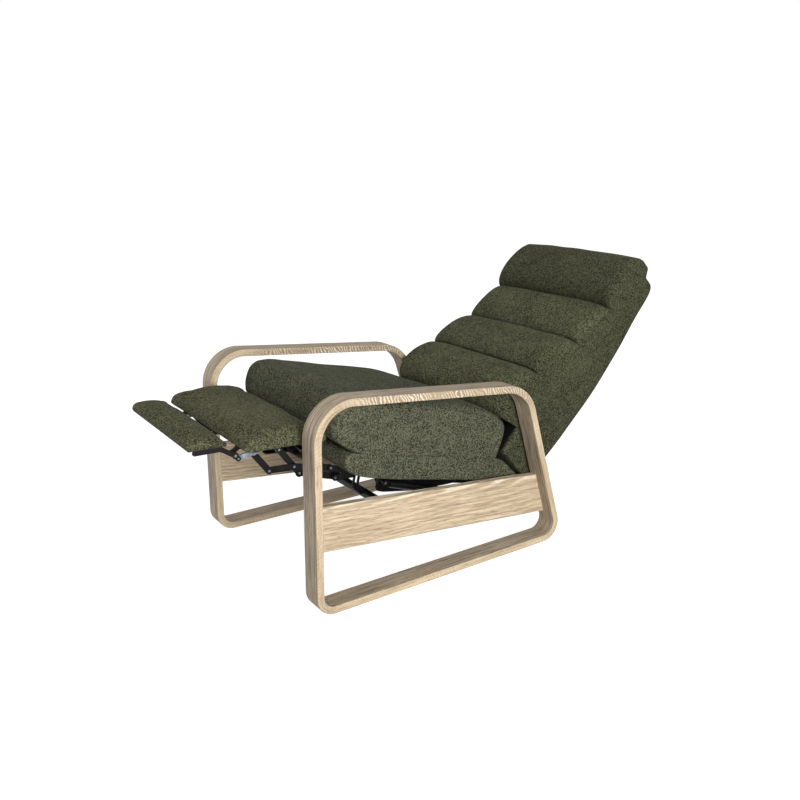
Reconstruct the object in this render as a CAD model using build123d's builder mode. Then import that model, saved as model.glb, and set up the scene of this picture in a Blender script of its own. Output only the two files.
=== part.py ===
from build123d import *
import os
from math import atan2, cos, degrees, hypot, pi, radians, sin

# A push-back reclining armchair, shown fully reclined with its footrest open.
# Side-view points are (rearward, up) from the foot of the front legs.

# Side loops of bent oak
arm_front_height = 610.0
arm_drop = 68.0
arm_overhang = 37.0
front_lean = 3.0
runner_overhang = 217.0
loop_width = 66.4
strip_thickness = 22.3
seat_side_gap = 11.0
top_corner_radius = 112.0
bottom_corner_radius = 58.0
strip_edge_chamfer = 2.2

# Side rails between the legs
rail_thickness = 24.0
rail_height = 131.0
rail_front_height = 305.0
rail_slope_angle = 5.6
rail_inset = 3.0
rail_edge_round = 2.5
dowel_diameter = 10.0
dowel_length = 44.0
dowel_in_leg = 14.0
dowel_edge_distance = 34.0
joint_gap = 0.1

# Running and lying clearances
pin_clearance = 0.1
soft_gap = 0.4
crown_shares = (0.5, 1)
lying_gap = 0.3
overrun = 20.0

# Pressed steel plates of the mechanism, counted in layers outward
plate_thickness = 4.0
layer_gap = 1.0
first_layer_side_inset = 102.0

# Base angles and cross tubes
angle_height = 40.0
angle_leg = 26.0
angle_thickness = 3.0
angle_top_drop = 4.0
angle_front = 170.0
angle_tail = 46.8
bolt_diameter = 6.0
bolt_grip = 18.0
bolt_head_diameter = 13.0
bolt_head_height = 3.5
bolt_end_distance = 42.0
tube_diameter = 26.0
tube_wall = 2.0
tube_tab_width = 34.0
front_tube = (250.0, 252.8)
rear_tube_setback = 35.0
rear_tube_drop = 26.0
guide_stud = (220.0, 280.0)
ear_width = 20.0

# Seat: its own slope, base box and cushion
seat_slope_angle = -13.2
seat_tilt_angle = 4.0
seat_front = (134.0, 375.0)
seat_half_width = 279.0
base_height = 46.0
base_drop = 26.0
base_top_depth = 575.0
base_rear_slant = 130.0
base_round = 12.0
base_side_inset = 3.0
base_sweep = 142.0
base_sweep_shares = (0.42, 0.7)
cushion_height = 136.0
cushion_overhang = 50.0
cushion_crown = 10.0
nose_bulge = 4.0
cushion_round = 18.0
seam_shares = (0.972, 0.07)
nose_shares = [(0.4, 0.144), (0.92, 0.31), (0.95, 0.72), (0.1, 0.97)]
cushion_top_shares = [(0.42, 1.035), (0.87, 0.952), (0.953, 0.877), (0.996, 0.597)]
seat_plate_height = 18.0
seat_web_height = 34.0
seat_web_start = 232.0
seat_web_end = 560.0
seat_plate_start = 105.0
seat_plate_end_inset = 65.0
seat_pivot_inset = 7.0
seat_pivot_drop = 18.7
flange_width = 26.0
flange_start = 165.0
flange_thickness = 3.0
slot_side_inset = 42.0
slot_width = 13.5
hinge_boss_radius = 14.0
hinge_foot_setback = 17.0
hinge_foot_drop = 10.5
slot_run = 78.0
slot_height = 120.0

# Back: shell, rolls and hinge
back_lean_angle = 43.0
back_foot_inset = 9.2
back_foot_rise = 29.2
back_length = 781.0
shell_bottom_depth = 187.0
shell_top_depth = 50.0
shell_side_inset = 3.0
shell_round = 12.0
top_setback = 73.0
shell_front_shares = [(0, 0), (0.12, 0.043), (0.355, 0.075), (0.572, -0.203), (0.791, -0.31), (1, -0.39)]
shell_rear_shares = [(0.715, 0.895), (0.452, 1.035)]
roll_end_shares = [0.124, 0.3545, 0.572, 0.791, 1.0]
roll_apex_shares = [0.212, 0.442, 0.68, 0.912]
roll_rises = [96.0, 56.0, 46.0, 88.0]
crease_rise = 36.0
lumbar_undercut = 12.0
lumbar_chin_rise = 58.0
headrest_overhang = 45.0
headrest_rise = 72.0
headrest_shares = [(0.4, 1.0), (1.0, 0.65), (0.7, 0.28)]
roll_crown = 9.0
roll_round = 16.0
hinge_inset = 24.0
hinge_rise = 39.0
back_swing_angle = 18.0
lever_length = 174.6
lever_angle = -113.6
bracket_reach = 205.0
bracket_width = 30.0
bracket_arm_shares = [(0.3, 0.27), (1.0, 0.4)]
hinge_pin_diameter = 10.0

# Gas springs between the seat and the back lever
cylinder_eye_setback = 182.6
cylinder_eye_drop = 25.7
cylinder_side_inset = 50.0
cylinder_diameter = 24.0
cylinder_length = 205.0
rod_diameter = 8.0
rod_insert = 120.0
rod_seal_bore = 8.2
eye_width = 10.0
eye_radius = 9.0
eye_pin_diameter = 8.0
eye_neck = 13.5
rod_eye_clearance = 1.6

# Footrest linkage, open
link_width = 18.0
boss_radius = 11.0
pivot_diameter = 7.0
drive_pivot_setback = 11.1
drive_pivot_drop = 21.0
cross_reach = 112.0
cross_rise = 26.0
front_joint_reach = 190.0
front_joint_rise = 32.0
post_rise = 56.0
post_reach = 42.0
tail_length = 30.0
control_link_length = 113.4
footrest_fold_angle = 94.0
post_turn_angle = -25.0
open_pivot_clearance = 3.6

# Ottoman board and pad
ottoman_reach = 288.0
ottoman_rise = 125.0
ottoman_slope_angle = -2.4
ottoman_length = 246.0
ottoman_side_inset = 14.0
ottoman_thickness = 36.0
ottoman_crown = 6.0
ottoman_round = 12.0
pad_shares = (0.8, 0.45, 0.7)
board_thickness = 6.0
board_round = 4.0
board_margin = 14.0
bracket_rail_height = 13.0
bracket_rail_length = 172.0

# Flipper board, pad and drive link
flipper_reach = 130.0
flipper_rise = 14.0
flipper_slope_angle = -1.5
flipper_length = 113.0
flipper_side_inset = 67.0
flipper_board_margin = 5.0
crossbar_reach = 42.0
crossbar_drop = 3.0
flipper_thickness = 20.0
flipper_crown = 6.0
flipper_round = 6.0
flipper_pivot_drop = 27.0
flipper_fold_angle = 92.0
flipper_rail_inset = 22.0
crank_up_radius = 14.0
crank_up_angle = 44.0
crank_down_radius = 12.0
crank_down_angle = -52.0
small_link_width = 14.0
small_pivot_diameter = 5.0
small_open_clearance = 1.6
crossbar_diameter = 8.0


def turn(point, centre, angle):
    """Turn a side-view point about a centre; its rear side rises for a positive angle."""
    a = radians(angle)
    rear, up = point[0] - centre[0], point[1] - centre[1]
    return centre[0] + rear * cos(a) - up * sin(a), centre[1] + rear * sin(a) + up * cos(a)


def reach(start, length, angle):
    """The point at a length and an angle from a start point."""
    return start[0] + length * cos(radians(angle)), start[1] + length * sin(radians(angle))


def span(a, b):
    return hypot(b[0] - a[0], b[1] - a[1])


def heading(a, b):
    return degrees(atan2(b[1] - a[1], b[0] - a[0]))


def middle(a, b):
    return (a[0] + b[0]) / 2, (a[1] + b[1]) / 2


def shifted(point, rearward, up):
    return point[0] + rearward, point[1] + up


def point_on(frame, along, up):
    """A side-view point at a distance along a frame's slope and another square to it."""
    foot, slope = frame
    return reach(reach(foot, along, slope), up, slope + 90)


# Each upholstered part has a frame of its own: its foot and its slope
seat_frame = (seat_front, seat_slope_angle)
# Widths and spacings across the chair follow the seat's half width
inner_half_width = seat_half_width + seat_side_gap
shell_half_width = seat_half_width - shell_side_inset
first_layer_half_spacing = seat_half_width - first_layer_side_inset
slot_half_spacing = seat_half_width - slot_side_inset
cylinder_half_spacing = seat_half_width - cylinder_side_inset
ottoman_half_width = seat_half_width - ottoman_side_inset
flipper_half_width = seat_half_width - flipper_side_inset
# Lengths that follow the seat's depth
base_depth = base_top_depth + base_rear_slant
arm_length = base_depth + arm_overhang
runner_length = base_depth + runner_overhang
seat_plate_end = base_depth - seat_plate_end_inset
seat_pivot = point_on(seat_frame, seat_plate_end - seat_pivot_inset, -base_drop - seat_pivot_drop)
rear_tube = shifted(seat_pivot, rear_tube_setback, -rear_tube_drop)
angle_length = (rear_tube[0] + angle_tail - angle_front) / cos(radians(rail_slope_angle))
slot_front = base_top_depth - slot_run
cylinder_eye = point_on(seat_frame, cylinder_eye_setback, -base_drop - cylinder_eye_drop)
back_hinge = point_on(seat_frame, base_top_depth - hinge_inset, base_height + hinge_rise)
back_foot = point_on(seat_frame, base_top_depth - back_foot_inset, base_height + back_foot_rise)
back_frame = (back_foot, back_lean_angle)
lever_pin = reach(back_hinge, lever_length, lever_angle)
drive_pivot = point_on(seat_frame, drive_pivot_setback, -drive_pivot_drop)
cross_pivot = shifted(drive_pivot, -cross_reach, cross_rise)
front_joint = shifted(drive_pivot, -front_joint_reach, front_joint_rise)
ottoman_front = shifted(drive_pivot, -ottoman_reach, ottoman_rise)
ottoman_frame = (ottoman_front, ottoman_slope_angle)
flipper_front = shifted(ottoman_front, -flipper_reach, flipper_rise)
flipper_frame = (flipper_front, flipper_slope_angle)
flipper_pivot = shifted(ottoman_front, 0, -flipper_pivot_drop)
crossbar_place = shifted(ottoman_front, -crossbar_reach, -crossbar_drop)

# The reference point lies on the floor, halfway between the footrest's and the back's tips
top_depth = shell_top_depth + top_setback
back_tip = point_on(back_frame, back_length, -top_depth)
origin_y = (back_tip[0] + flipper_front[0]) / 2


def side_plane(x, foot=(0, 0), slope=0):
    """A plane across the chair at x, its axes rearward and up, turned by a slope."""
    across = (0, cos(radians(slope)), sin(radians(slope)))
    return Plane(origin=(x, foot[0] - origin_y, foot[1]), x_dir=across, z_dir=(1, 0, 0))


def near_x(inner, thickness, side):
    """The lower x of a plate that lies from inner to inner + thickness on one side."""
    return inner if side > 0 else -inner - thickness


def layer_x(layer):
    return first_layer_half_spacing + layer * (plate_thickness + layer_gap)


def build_plate(layer, side, strips, bosses, holes, slots=()):
    """A flat steel plate: rounded strips, round bosses, pivot holes and slots."""
    with BuildPart() as steel:
        with BuildSketch(side_plane(near_x(layer_x(layer), plate_thickness, side))):
            for start, end, width in strips:
                with Locations(middle(start, end)):
                    SlotCenterToCenter(span(start, end), width, rotation=heading(start, end))
            for centre, radius in bosses:
                with Locations(centre):
                    Circle(radius)
            for centre, radius in holes:
                with Locations(centre):
                    Circle(radius, mode=Mode.SUBTRACT)
            for start, end, width in slots:
                with Locations(middle(start, end)):
                    SlotCenterToCenter(
                        span(start, end), width, rotation=heading(start, end), mode=Mode.SUBTRACT
                    )
        extrude(amount=plate_thickness)
    return steel.part


def build_pins(pins):
    """Separate round pins on both sides: each is a centre, a radius, an inner and an outer x."""
    with BuildPart() as steel:
        for centre, radius, inner, outer in pins:
            for side in (1, -1):
                with BuildSketch(side_plane(near_x(inner, outer - inner, side))):
                    with Locations(centre):
                        Circle(radius)
                extrude(amount=outer - inner)
    return steel.part


def across(first, last):
    """The x span of a pin that passes from one layer's inner face to another's outer face."""
    return layer_x(first), layer_x(last) + plate_thickness


def write(part, name):
    part.label = name
    export_step(part, "parts/" + name + ".step")


def write_pair(build, name):
    for side, hand in ((1, "left"), (-1, "right")):
        write(build(side), name + "_" + hand)


os.makedirs("parts", exist_ok=True)

# Side loops: one oak strip bent round four corners
loop_corners = [
    (0, 0),
    (-front_lean, arm_front_height),
    (arm_length - front_lean, arm_front_height - arm_drop),
    (runner_length, 0),
]
corner_radii = [bottom_corner_radius, top_corner_radius, top_corner_radius, bottom_corner_radius]
rear_leg_heading = heading(loop_corners[3], loop_corners[2])


def leg_face(height, rear):
    """How far back the inner face of the front or the rear leg lies at a height."""
    if rear:
        start, end, inward = loop_corners[3], loop_corners[2], -strip_thickness
    else:
        start, end, inward = loop_corners[0], loop_corners[1], strip_thickness
    lean = (end[0] - start[0]) / (end[1] - start[1])
    return start[0] + lean * height + inward * hypot(1, lean)


def rail_top(rearward):
    return rail_front_height - rearward * sin(radians(rail_slope_angle)) / cos(radians(rail_slope_angle))


def rail_corner(down, rear):
    """A corner of the side rail, on the leg's inner face and a distance below the top edge."""
    depth = down / cos(radians(rail_slope_angle))
    place = leg_face(rail_front_height - depth, rear)
    for _ in range(6):
        place = leg_face(rail_top(place) - depth, rear)
    face_gap = -joint_gap if rear else joint_gap
    return place + face_gap, rail_top(place) - depth


def build_loop(side):
    with BuildPart() as loop:
        with BuildSketch(side_plane(near_x(inner_half_width, loop_width, side))):
            with BuildLine() as path:
                FilletPolyline(*loop_corners, radius=corner_radii, close=True)
            make_face()
            with BuildLine():
                offset(path.wires()[0], amount=-strip_thickness, kind=Kind.INTERSECTION)
            make_face(mode=Mode.SUBTRACT)
        extrude(amount=loop_width)
        faces = loop.faces().filter_by(Axis.X).sort_by(Axis.X)
        chamfer(faces[0].edges() + faces[-1].edges(), strip_edge_chamfer)
        for place, angle in dowels:
            with BuildSketch(dowel_plane(place, angle, side)):
                Circle(dowel_diameter / 2 + joint_gap)
            extrude(amount=dowel_length / 2 + joint_gap, both=True, mode=Mode.SUBTRACT)
    return loop.part


def dowel_plane(place, angle, side):
    x = side * (inner_half_width + rail_inset + rail_thickness / 2)
    direction = (0, cos(radians(angle)), sin(radians(angle)))
    return Plane(origin=(x, place[0] - origin_y, place[1]), x_dir=(1, 0, 0), z_dir=direction)


# Two dowels at each end of each rail run along the rail into the leg
dowels = []
for rear, turned in ((False, 0), (True, 180)):
    for down in (dowel_edge_distance, rail_height - dowel_edge_distance):
        face = rail_corner(down, rear)
        angle = turned - rail_slope_angle
        centre = reach(face, dowel_length / 2 - dowel_in_leg, angle)
        dowels.append((centre, angle))


def build_rail(side):
    corners = [rail_corner(0, False), rail_corner(0, True)]
    corners += [rail_corner(rail_height, True), rail_corner(rail_height, False)]
    with BuildPart() as rail:
        with BuildSketch(side_plane(near_x(inner_half_width + rail_inset, rail_thickness, side))):
            with BuildLine():
                Polyline(*corners, close=True)
            make_face()
        extrude(amount=rail_thickness)
        rims = rail.edges().filter_by(lambda e: e.length > rail_height * 2)
        fillet(rims, rail_edge_round)
        for place, angle in dowels:
            with BuildSketch(dowel_plane(place, angle, side)):
                Circle(dowel_diameter / 2 + joint_gap)
            extrude(amount=dowel_length / 2 + joint_gap, both=True, mode=Mode.SUBTRACT)
        for place in bolt_places:
            with BuildSketch(side_plane(near_x(inner_half_width + rail_inset, bolt_depth, side))):
                with Locations(place):
                    Circle(bolt_diameter / 2 + joint_gap)
            extrude(amount=bolt_depth, mode=Mode.SUBTRACT)
    return rail.part


def build_dowels():
    with BuildPart() as pegs:
        for side in (1, -1):
            for place, angle in dowels:
                with BuildSketch(dowel_plane(place, angle, side)):
                    Circle(dowel_diameter / 2)
                extrude(amount=dowel_length / 2, both=True)
    return pegs.part


# Base angles: steel L sections bolted inside the rails
angle_start = (angle_front, rail_top(angle_front) - angle_top_drop)
bolt_depth = bolt_grip - angle_thickness + lying_gap
bolt_drop = angle_height / 2 + angle_thickness
bolt_places = []
for along in (bolt_end_distance, angle_length / 2, angle_length - bolt_end_distance):
    on_angle = reach(angle_start, along, -rail_slope_angle)
    bolt_places.append(reach(on_angle, bolt_drop, -90 - rail_slope_angle))


def build_angle(side):
    outer_x = inner_half_width + rail_inset - joint_gap
    with BuildPart() as steel:
        web_x = near_x(outer_x - angle_thickness, angle_thickness, side)
        with BuildSketch(side_plane(web_x, angle_start, -rail_slope_angle)):
            Rectangle(angle_length, angle_height, align=(Align.MIN, Align.MAX))
        extrude(amount=angle_thickness)
        flange_foot = rail_top(rear_tube[0]) - angle_top_drop - angle_height / 2
        with BuildSketch(side_plane(web_x)):
            with Locations((rear_tube[0], (rear_tube[1] + flange_foot) / 2)):
                SlotCenterToCenter(flange_foot - rear_tube[1], tube_tab_width, rotation=90)
        extrude(amount=angle_thickness)
        ledge = side_plane(near_x(outer_x - angle_leg, angle_leg, side), angle_start, -rail_slope_angle)
        with BuildSketch(ledge):
            with Locations((0, angle_thickness - angle_height)):
                Rectangle(angle_length, angle_thickness, align=(Align.MIN, Align.MAX))
        extrude(amount=angle_leg)
        for place in bolt_places:
            with BuildSketch(side_plane(web_x)):
                with Locations(place):
                    Circle(bolt_diameter / 2 + joint_gap)
            extrude(amount=angle_thickness, mode=Mode.SUBTRACT)
    return steel.part


def build_bolts():
    head_x = inner_half_width + rail_inset - joint_gap - angle_thickness
    with BuildPart() as bolts:
        for side in (1, -1):
            for place in bolt_places:
                with BuildSketch(side_plane(near_x(head_x, bolt_grip, side))):
                    with Locations(place):
                        Circle(bolt_diameter / 2)
                extrude(amount=bolt_grip)
                with BuildSketch(side_plane(near_x(head_x - bolt_head_height, bolt_head_height, side))):
                    with Locations(place):
                        Circle(bolt_head_diameter / 2)
                extrude(amount=bolt_head_height)
    return bolts.part


def build_tube(centre, stud, stud_radius, stud_inner):
    """A cross tube between the base angles, with an ear at each side that carries a stud."""
    half_span = inner_half_width + rail_inset - joint_gap - angle_thickness - joint_gap
    with BuildPart() as tube:
        with BuildSketch(side_plane(-half_span)):
            with Locations(centre):
                Circle(tube_diameter / 2)
                Circle(tube_diameter / 2 - tube_wall, mode=Mode.SUBTRACT)
        extrude(amount=half_span * 2)
        for side in (1, -1):
            with BuildSketch(side_plane(near_x(layer_x(4), plate_thickness, side))):
                with Locations(middle(centre, stud)):
                    SlotCenterToCenter(span(centre, stud), ear_width, rotation=heading(centre, stud))
                with Locations(centre):
                    Circle(tube_diameter / 2 - tube_wall / 2, mode=Mode.SUBTRACT)
            extrude(amount=plate_thickness)
            with BuildSketch(side_plane(near_x(stud_inner, layer_x(4) - stud_inner, side))):
                with Locations(stud):
                    Circle(stud_radius)
            extrude(amount=layer_x(4) - stud_inner)
    return tube.part


write_pair(build_loop, "side_loop")
write_pair(build_rail, "side_rail")
write(build_dowels(), "rail_dowels")
write_pair(build_angle, "base_angle")
write(build_bolts(), "base_bolts")
write(build_tube(front_tube, guide_stud, pivot_diameter / 2, layer_x(3)), "front_cross_tube")
write(build_tube(rear_tube, seat_pivot, pivot_diameter / 2, layer_x(3)), "rear_cross_tube")


def drawn_in(outline, inset):
    """An outline's points moved toward its middle, by the inset at its own edges."""
    start, steps = outline
    points = [start] + [point for step in steps for point in step if point]
    limits = [(min(values), max(values)) for values in zip(*points)]

    def move(point):
        return point and tuple(
            (low + high) / 2 + (value - (low + high) / 2) * (high - low - 2 * inset) / (high - low)
            for value, (low, high) in zip(point, limits)
        )

    return move(start), [(move(via), move(end)) for via, end in steps]


def build_soft(outline, half_width, frame, end_round):
    """A stuffed solid: crowned across its width, its ends rounded and drawn in, lofted."""
    sections = [(end_round * (1 - cos(a)), end_round * (1 - sin(a))) for a in (0, pi / 4, pi / 2)]
    sections += [(half_width * share, 0) for share in crown_shares]
    places = [(inward - half_width, inset) for inward, inset in sections]
    places += [(-x, inset) for x, inset in reversed(places[:-1])]
    with BuildPart() as soft:
        for x, inset in places:
            with BuildSketch(side_plane(x, *frame)):
                start, steps = drawn_in(outline(1 - (x / half_width) ** 2), inset)
                first = start
                with BuildLine():
                    for via, end in steps:
                        if via:
                            ThreePointArc(start, via, end)
                        else:
                            Line(start, end)
                        start = end
                    Line(start, first)
                make_face()
        loft(ruled=True)
    return soft.part


# Back bracket and hinge plate run in a slot at each side of the seat
hinge_plate_x = slot_half_spacing + slot_width - joint_gap - plate_thickness
bracket_x = hinge_plate_x - layer_gap - plate_thickness


def build_base():
    with BuildPart() as base:
        with BuildSketch(side_plane(base_side_inset - seat_half_width, *seat_frame)):
            with BuildLine():
                via_share, drop_share = base_sweep_shares
                toe = (base_sweep, -base_drop)
                ThreePointArc((0, 0), (base_sweep * via_share, -base_drop * drop_share), toe)
                heel = (base_depth, -base_drop)
                Polyline(toe, heel, (base_top_depth, base_height), (0, base_height), (0, 0))
            make_face()
        extrude(amount=2 * (seat_half_width - base_side_inset))
        fillet(base.faces().filter_by(Axis.X).edges(), base_round)
        for side in (1, -1):
            with BuildSketch(side_plane(near_x(slot_half_spacing, slot_width, side), *seat_frame)):
                with Locations((slot_front, -base_drop - overrun)):
                    slot_rise = base_drop + base_height + 2 * overrun
                    Rectangle(base_depth, slot_rise, align=(Align.MIN, Align.MIN))
            extrude(amount=slot_width, mode=Mode.SUBTRACT)
    return base.part


def cushion_outline(crown):
    """From the rear of the seam, forward under the nose, over the top and down the rear."""
    seam = base_height + soft_gap
    nose = cushion_overhang + nose_bulge * crown
    lift = cushion_crown * crown
    under, lip, brow, crest = ((-nose * out, seam + cushion_height * up) for out, up in nose_shares)
    crest = (crest[0], crest[1] + lift)
    top, rear_top, shoulder, rear = (
        (base_top_depth * back, seam + cushion_height * up) for back, up in cushion_top_shares
    )
    top = (top[0], top[1] + lift)
    seam_rear, seam_front = ((base_top_depth * share, seam) for share in seam_shares)
    steps = [(None, seam_front), (under, lip), (brow, crest), (top, rear_top), (shoulder, rear)]
    return seam_rear, steps


def build_cushion():
    soft = build_soft(cushion_outline, seat_half_width, seat_frame, cushion_round)
    with BuildPart() as cushion:
        add(soft)
        for side in (1, -1):
            with BuildSketch(side_plane(near_x(slot_half_spacing, slot_width, side), *seat_frame)):
                with Locations((slot_front, 0)):
                    Rectangle(base_depth, slot_height, align=(Align.MIN, Align.MIN))
            extrude(amount=slot_width, mode=Mode.SUBTRACT)
    return cushion.part


# Front line of the back's shell
shell_front = [(a * back_length, b * shell_bottom_depth) for a, b in shell_front_shares]


def shell_face(along):
    """How far forward the front of the shell lies at a distance along the back."""
    for start, end in zip(shell_front, shell_front[1:]):
        if start[0] <= along <= end[0]:
            share = (along - start[0]) / (end[0] - start[0])
            return start[1] + share * (end[1] - start[1])
    return shell_front[-1][1]


arm_foot, arm_tip = (
    point_on(back_frame, bracket_reach * along, -shell_bottom_depth * depth)
    for along, depth in bracket_arm_shares
)


def build_shell():
    top_rear = (back_length, shell_front[-1][1] - shell_top_depth)
    hollow, waist = ((back_length * a, -shell_bottom_depth * b) for a, b in shell_rear_shares)
    with BuildPart() as shell:
        with BuildSketch(side_plane(-shell_half_width, *back_frame)):
            with BuildLine():
                Polyline(*shell_front, top_rear)
                ThreePointArc(top_rear, hollow, waist)
                Polyline(waist, (0, -shell_bottom_depth), (0, 0))
            make_face()
        extrude(amount=2 * shell_half_width)
        for end in shell.faces().filter_by(Axis.X):
            fillet(end.edges().sort_by(SortBy.LENGTH)[-2:], shell_round)
        for side in (1, -1):
            slot_x = near_x(bracket_x - lying_gap, plate_thickness + 2 * lying_gap, side)
            with BuildSketch(side_plane(slot_x)):
                for start, end in ((back_hinge, arm_foot), (arm_foot, arm_tip)):
                    with Locations(middle(start, end)):
                        SlotCenterToCenter(
                            span(start, end), bracket_width + 2 * lying_gap, rotation=heading(start, end)
                        )
            extrude(amount=plate_thickness + 2 * lying_gap, mode=Mode.SUBTRACT)
    return shell.part


# Rolls of the back, low to high: each starts and ends on the shell's front and has its bulge
def roll_outline(number, crown):
    low = roll_end_shares[number] * back_length + soft_gap / 2
    high = roll_end_shares[number + 1] * back_length - soft_gap / 2
    foot = (low, shell_face(low) + soft_gap)
    head = (high, shell_face(high) + soft_gap)
    apex_along = roll_apex_shares[number] * back_length
    apex = (apex_along, shell_face(apex_along) + roll_rises[number] + roll_crown * crown)
    if number == 0:
        chin = (low - lumbar_undercut, foot[1] + lumbar_chin_rise)
    else:
        chin = (low, foot[1] + crease_rise)
    if number < 3:
        return foot, [(None, chin), (apex, (high, head[1] + crease_rise)), (None, head)]
    crest, tip, nape = (
        (back_length + headrest_overhang * over, head[1] + headrest_rise * up)
        for over, up in headrest_shares
    )
    return foot, [(None, chin), (apex, crest), (tip, nape), (None, head)]


def build_roll(number):
    def outline(crown):
        return roll_outline(number, crown)

    return build_soft(outline, seat_half_width, back_frame, roll_round)


def build_back_bracket(side):
    with BuildPart() as steel:
        with BuildSketch(side_plane(near_x(bracket_x, plate_thickness, side))):
            strips = [(back_hinge, arm_foot, bracket_width), (arm_foot, arm_tip, bracket_width)]
            strips.append((back_hinge, lever_pin, link_width))
            for start, end, width in strips:
                with Locations(middle(start, end)):
                    SlotCenterToCenter(span(start, end), width, rotation=heading(start, end))
            with Locations(back_hinge):
                Circle(hinge_pin_diameter / 2 + pin_clearance, mode=Mode.SUBTRACT)
        extrude(amount=plate_thickness)
        pin_start = cylinder_half_spacing - eye_width / 2
        with BuildSketch(side_plane(near_x(pin_start, bracket_x - pin_start, side))):
            with Locations(lever_pin):
                Circle(eye_pin_diameter / 2)
        extrude(amount=bracket_x - pin_start)
    return steel.part


def build_hinge_plate(side):
    foot = point_on(seat_frame, slot_front + hinge_boss_radius + hinge_foot_setback, -hinge_foot_drop)
    with BuildPart() as steel:
        with BuildSketch(side_plane(near_x(hinge_plate_x, plate_thickness, side))):
            with Locations(middle(back_hinge, foot)):
                SlotCenterToCenter(
                    span(back_hinge, foot), 2 * hinge_boss_radius, rotation=heading(back_hinge, foot)
                )
        extrude(amount=plate_thickness)
        with BuildSketch(side_plane(near_x(bracket_x, hinge_plate_x - bracket_x, side))):
            with Locations(back_hinge):
                Circle(hinge_pin_diameter / 2)
        extrude(amount=hinge_plate_x - bracket_x)
    return steel.part


# Footrest linkage: two equal posts stand on the drive link, and a short tail on the rear post
# is held by a control link, whose seat pivot is set so that both ends of the travel close
post = (-post_reach, post_rise)
post_heading = heading((0, 0), post)
front_pin = (front_joint[0] + post[0], front_joint[1] + post[1])
rear_pin = (cross_pivot[0] + post[0], cross_pivot[1] + post[1])
tail_pin = reach(cross_pivot, tail_length, post_heading + 180)
folded_cross = turn(cross_pivot, drive_pivot, footrest_fold_angle)
folded_tail = reach(folded_cross, tail_length, post_heading + 180 + post_turn_angle)
half_chord = span(tail_pin, folded_tail) / 2
control_pivot = reach(
    middle(tail_pin, folded_tail),
    (control_link_length**2 - half_chord**2) ** 0.5,
    heading(tail_pin, folded_tail) + 90,
)
crank_up = reach(front_pin, crank_up_radius, crank_up_angle)
crank_down = reach(flipper_pivot, crank_down_radius, crank_down_angle)
pivot_radius = pivot_diameter / 2
hole_radius = pivot_radius + pin_clearance
small_pivot_radius = small_pivot_diameter / 2


def build_seat_plate(side):
    rail_up = -base_drop - lying_gap - seat_plate_height / 2
    rail_start = point_on(seat_frame, seat_plate_start, rail_up)
    rail_end = point_on(seat_frame, seat_plate_end, rail_up)
    slot_top = turn(guide_stud, seat_pivot, -seat_tilt_angle)
    web_up = -base_drop - lying_gap - seat_web_height / 2
    web_start = point_on(seat_frame, seat_web_start, web_up)
    web_end = point_on(seat_frame, seat_web_end, web_up)
    strips = [
        (rail_start, rail_end, seat_plate_height),
        (web_start, web_end, seat_web_height),
        (drive_pivot, rail_start, link_width),
        (control_pivot, rail_start, link_width),
        (guide_stud, slot_top, link_width + pivot_radius),
    ]
    bosses = [(seat_pivot, boss_radius), (cylinder_eye, boss_radius)]
    holes = [(seat_pivot, hole_radius), (drive_pivot, hole_radius), (control_pivot, hole_radius)]
    holes += [(cylinder_eye, eye_pin_diameter / 2 + pin_clearance)]
    slots = [(guide_stud, slot_top, 2 * hole_radius + layer_gap)]
    plate = build_plate(3, side, strips, bosses, holes, slots)
    with BuildPart() as steel:
        add(plate)
        flange_x = near_x(layer_x(3), flange_width + plate_thickness, side)
        with BuildSketch(side_plane(flange_x, *seat_frame)):
            with Locations((flange_start, -base_drop - lying_gap)):
                flange_length = seat_plate_end - flange_start
                Rectangle(flange_length, flange_thickness, align=(Align.MIN, Align.MAX))
        extrude(amount=flange_width + plate_thickness)
    return steel.part


def build_seat_pins():
    return build_pins([
        (drive_pivot, pivot_radius, *across(2, 3)),
        (control_pivot, pivot_radius, *across(0, 3)),
        (cylinder_eye, eye_pin_diameter / 2, layer_x(3), cylinder_half_spacing + eye_width / 2),
    ])


def build_drive_link(side):
    strips = [(front_joint, cross_pivot, link_width), (cross_pivot, drive_pivot, link_width)]
    holes = [(front_joint, hole_radius), (cross_pivot, hole_radius), (drive_pivot, hole_radius)]
    return build_plate(2, side, strips, [], holes)


def build_drive_pins():
    return build_pins([
        (cross_pivot, pivot_radius, *across(1, 2)),
        (front_joint, pivot_radius, *across(2, 3)),
    ])


def build_cross_link(side):
    open_radius = pivot_radius + open_pivot_clearance
    strips = [(rear_pin, cross_pivot, link_width), (cross_pivot, tail_pin, link_width)]
    bosses = [(tail_pin, open_radius + plate_thickness)]
    holes = [(rear_pin, hole_radius), (cross_pivot, hole_radius), (tail_pin, open_radius)]
    return build_plate(1, side, strips, bosses, holes)


def build_control_link(side):
    strips = [(tail_pin, control_pivot, link_width)]
    holes = [(tail_pin, hole_radius), (control_pivot, hole_radius)]
    return build_plate(0, side, strips, [], holes)


def build_control_pins():
    return build_pins([(tail_pin, pivot_radius, *across(0, 1))])


def build_front_link(side):
    strips = [(front_joint, front_pin, link_width), (front_pin, crank_up, small_link_width)]
    holes = [(front_joint, hole_radius + lying_gap), (front_pin, hole_radius)]
    holes += [(crank_up, small_pivot_radius + pin_clearance)]
    return build_plate(3, side, strips, [], holes)


def build_front_link_pins():
    return build_pins([(crank_up, small_pivot_radius, *across(3, 4))])


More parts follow.
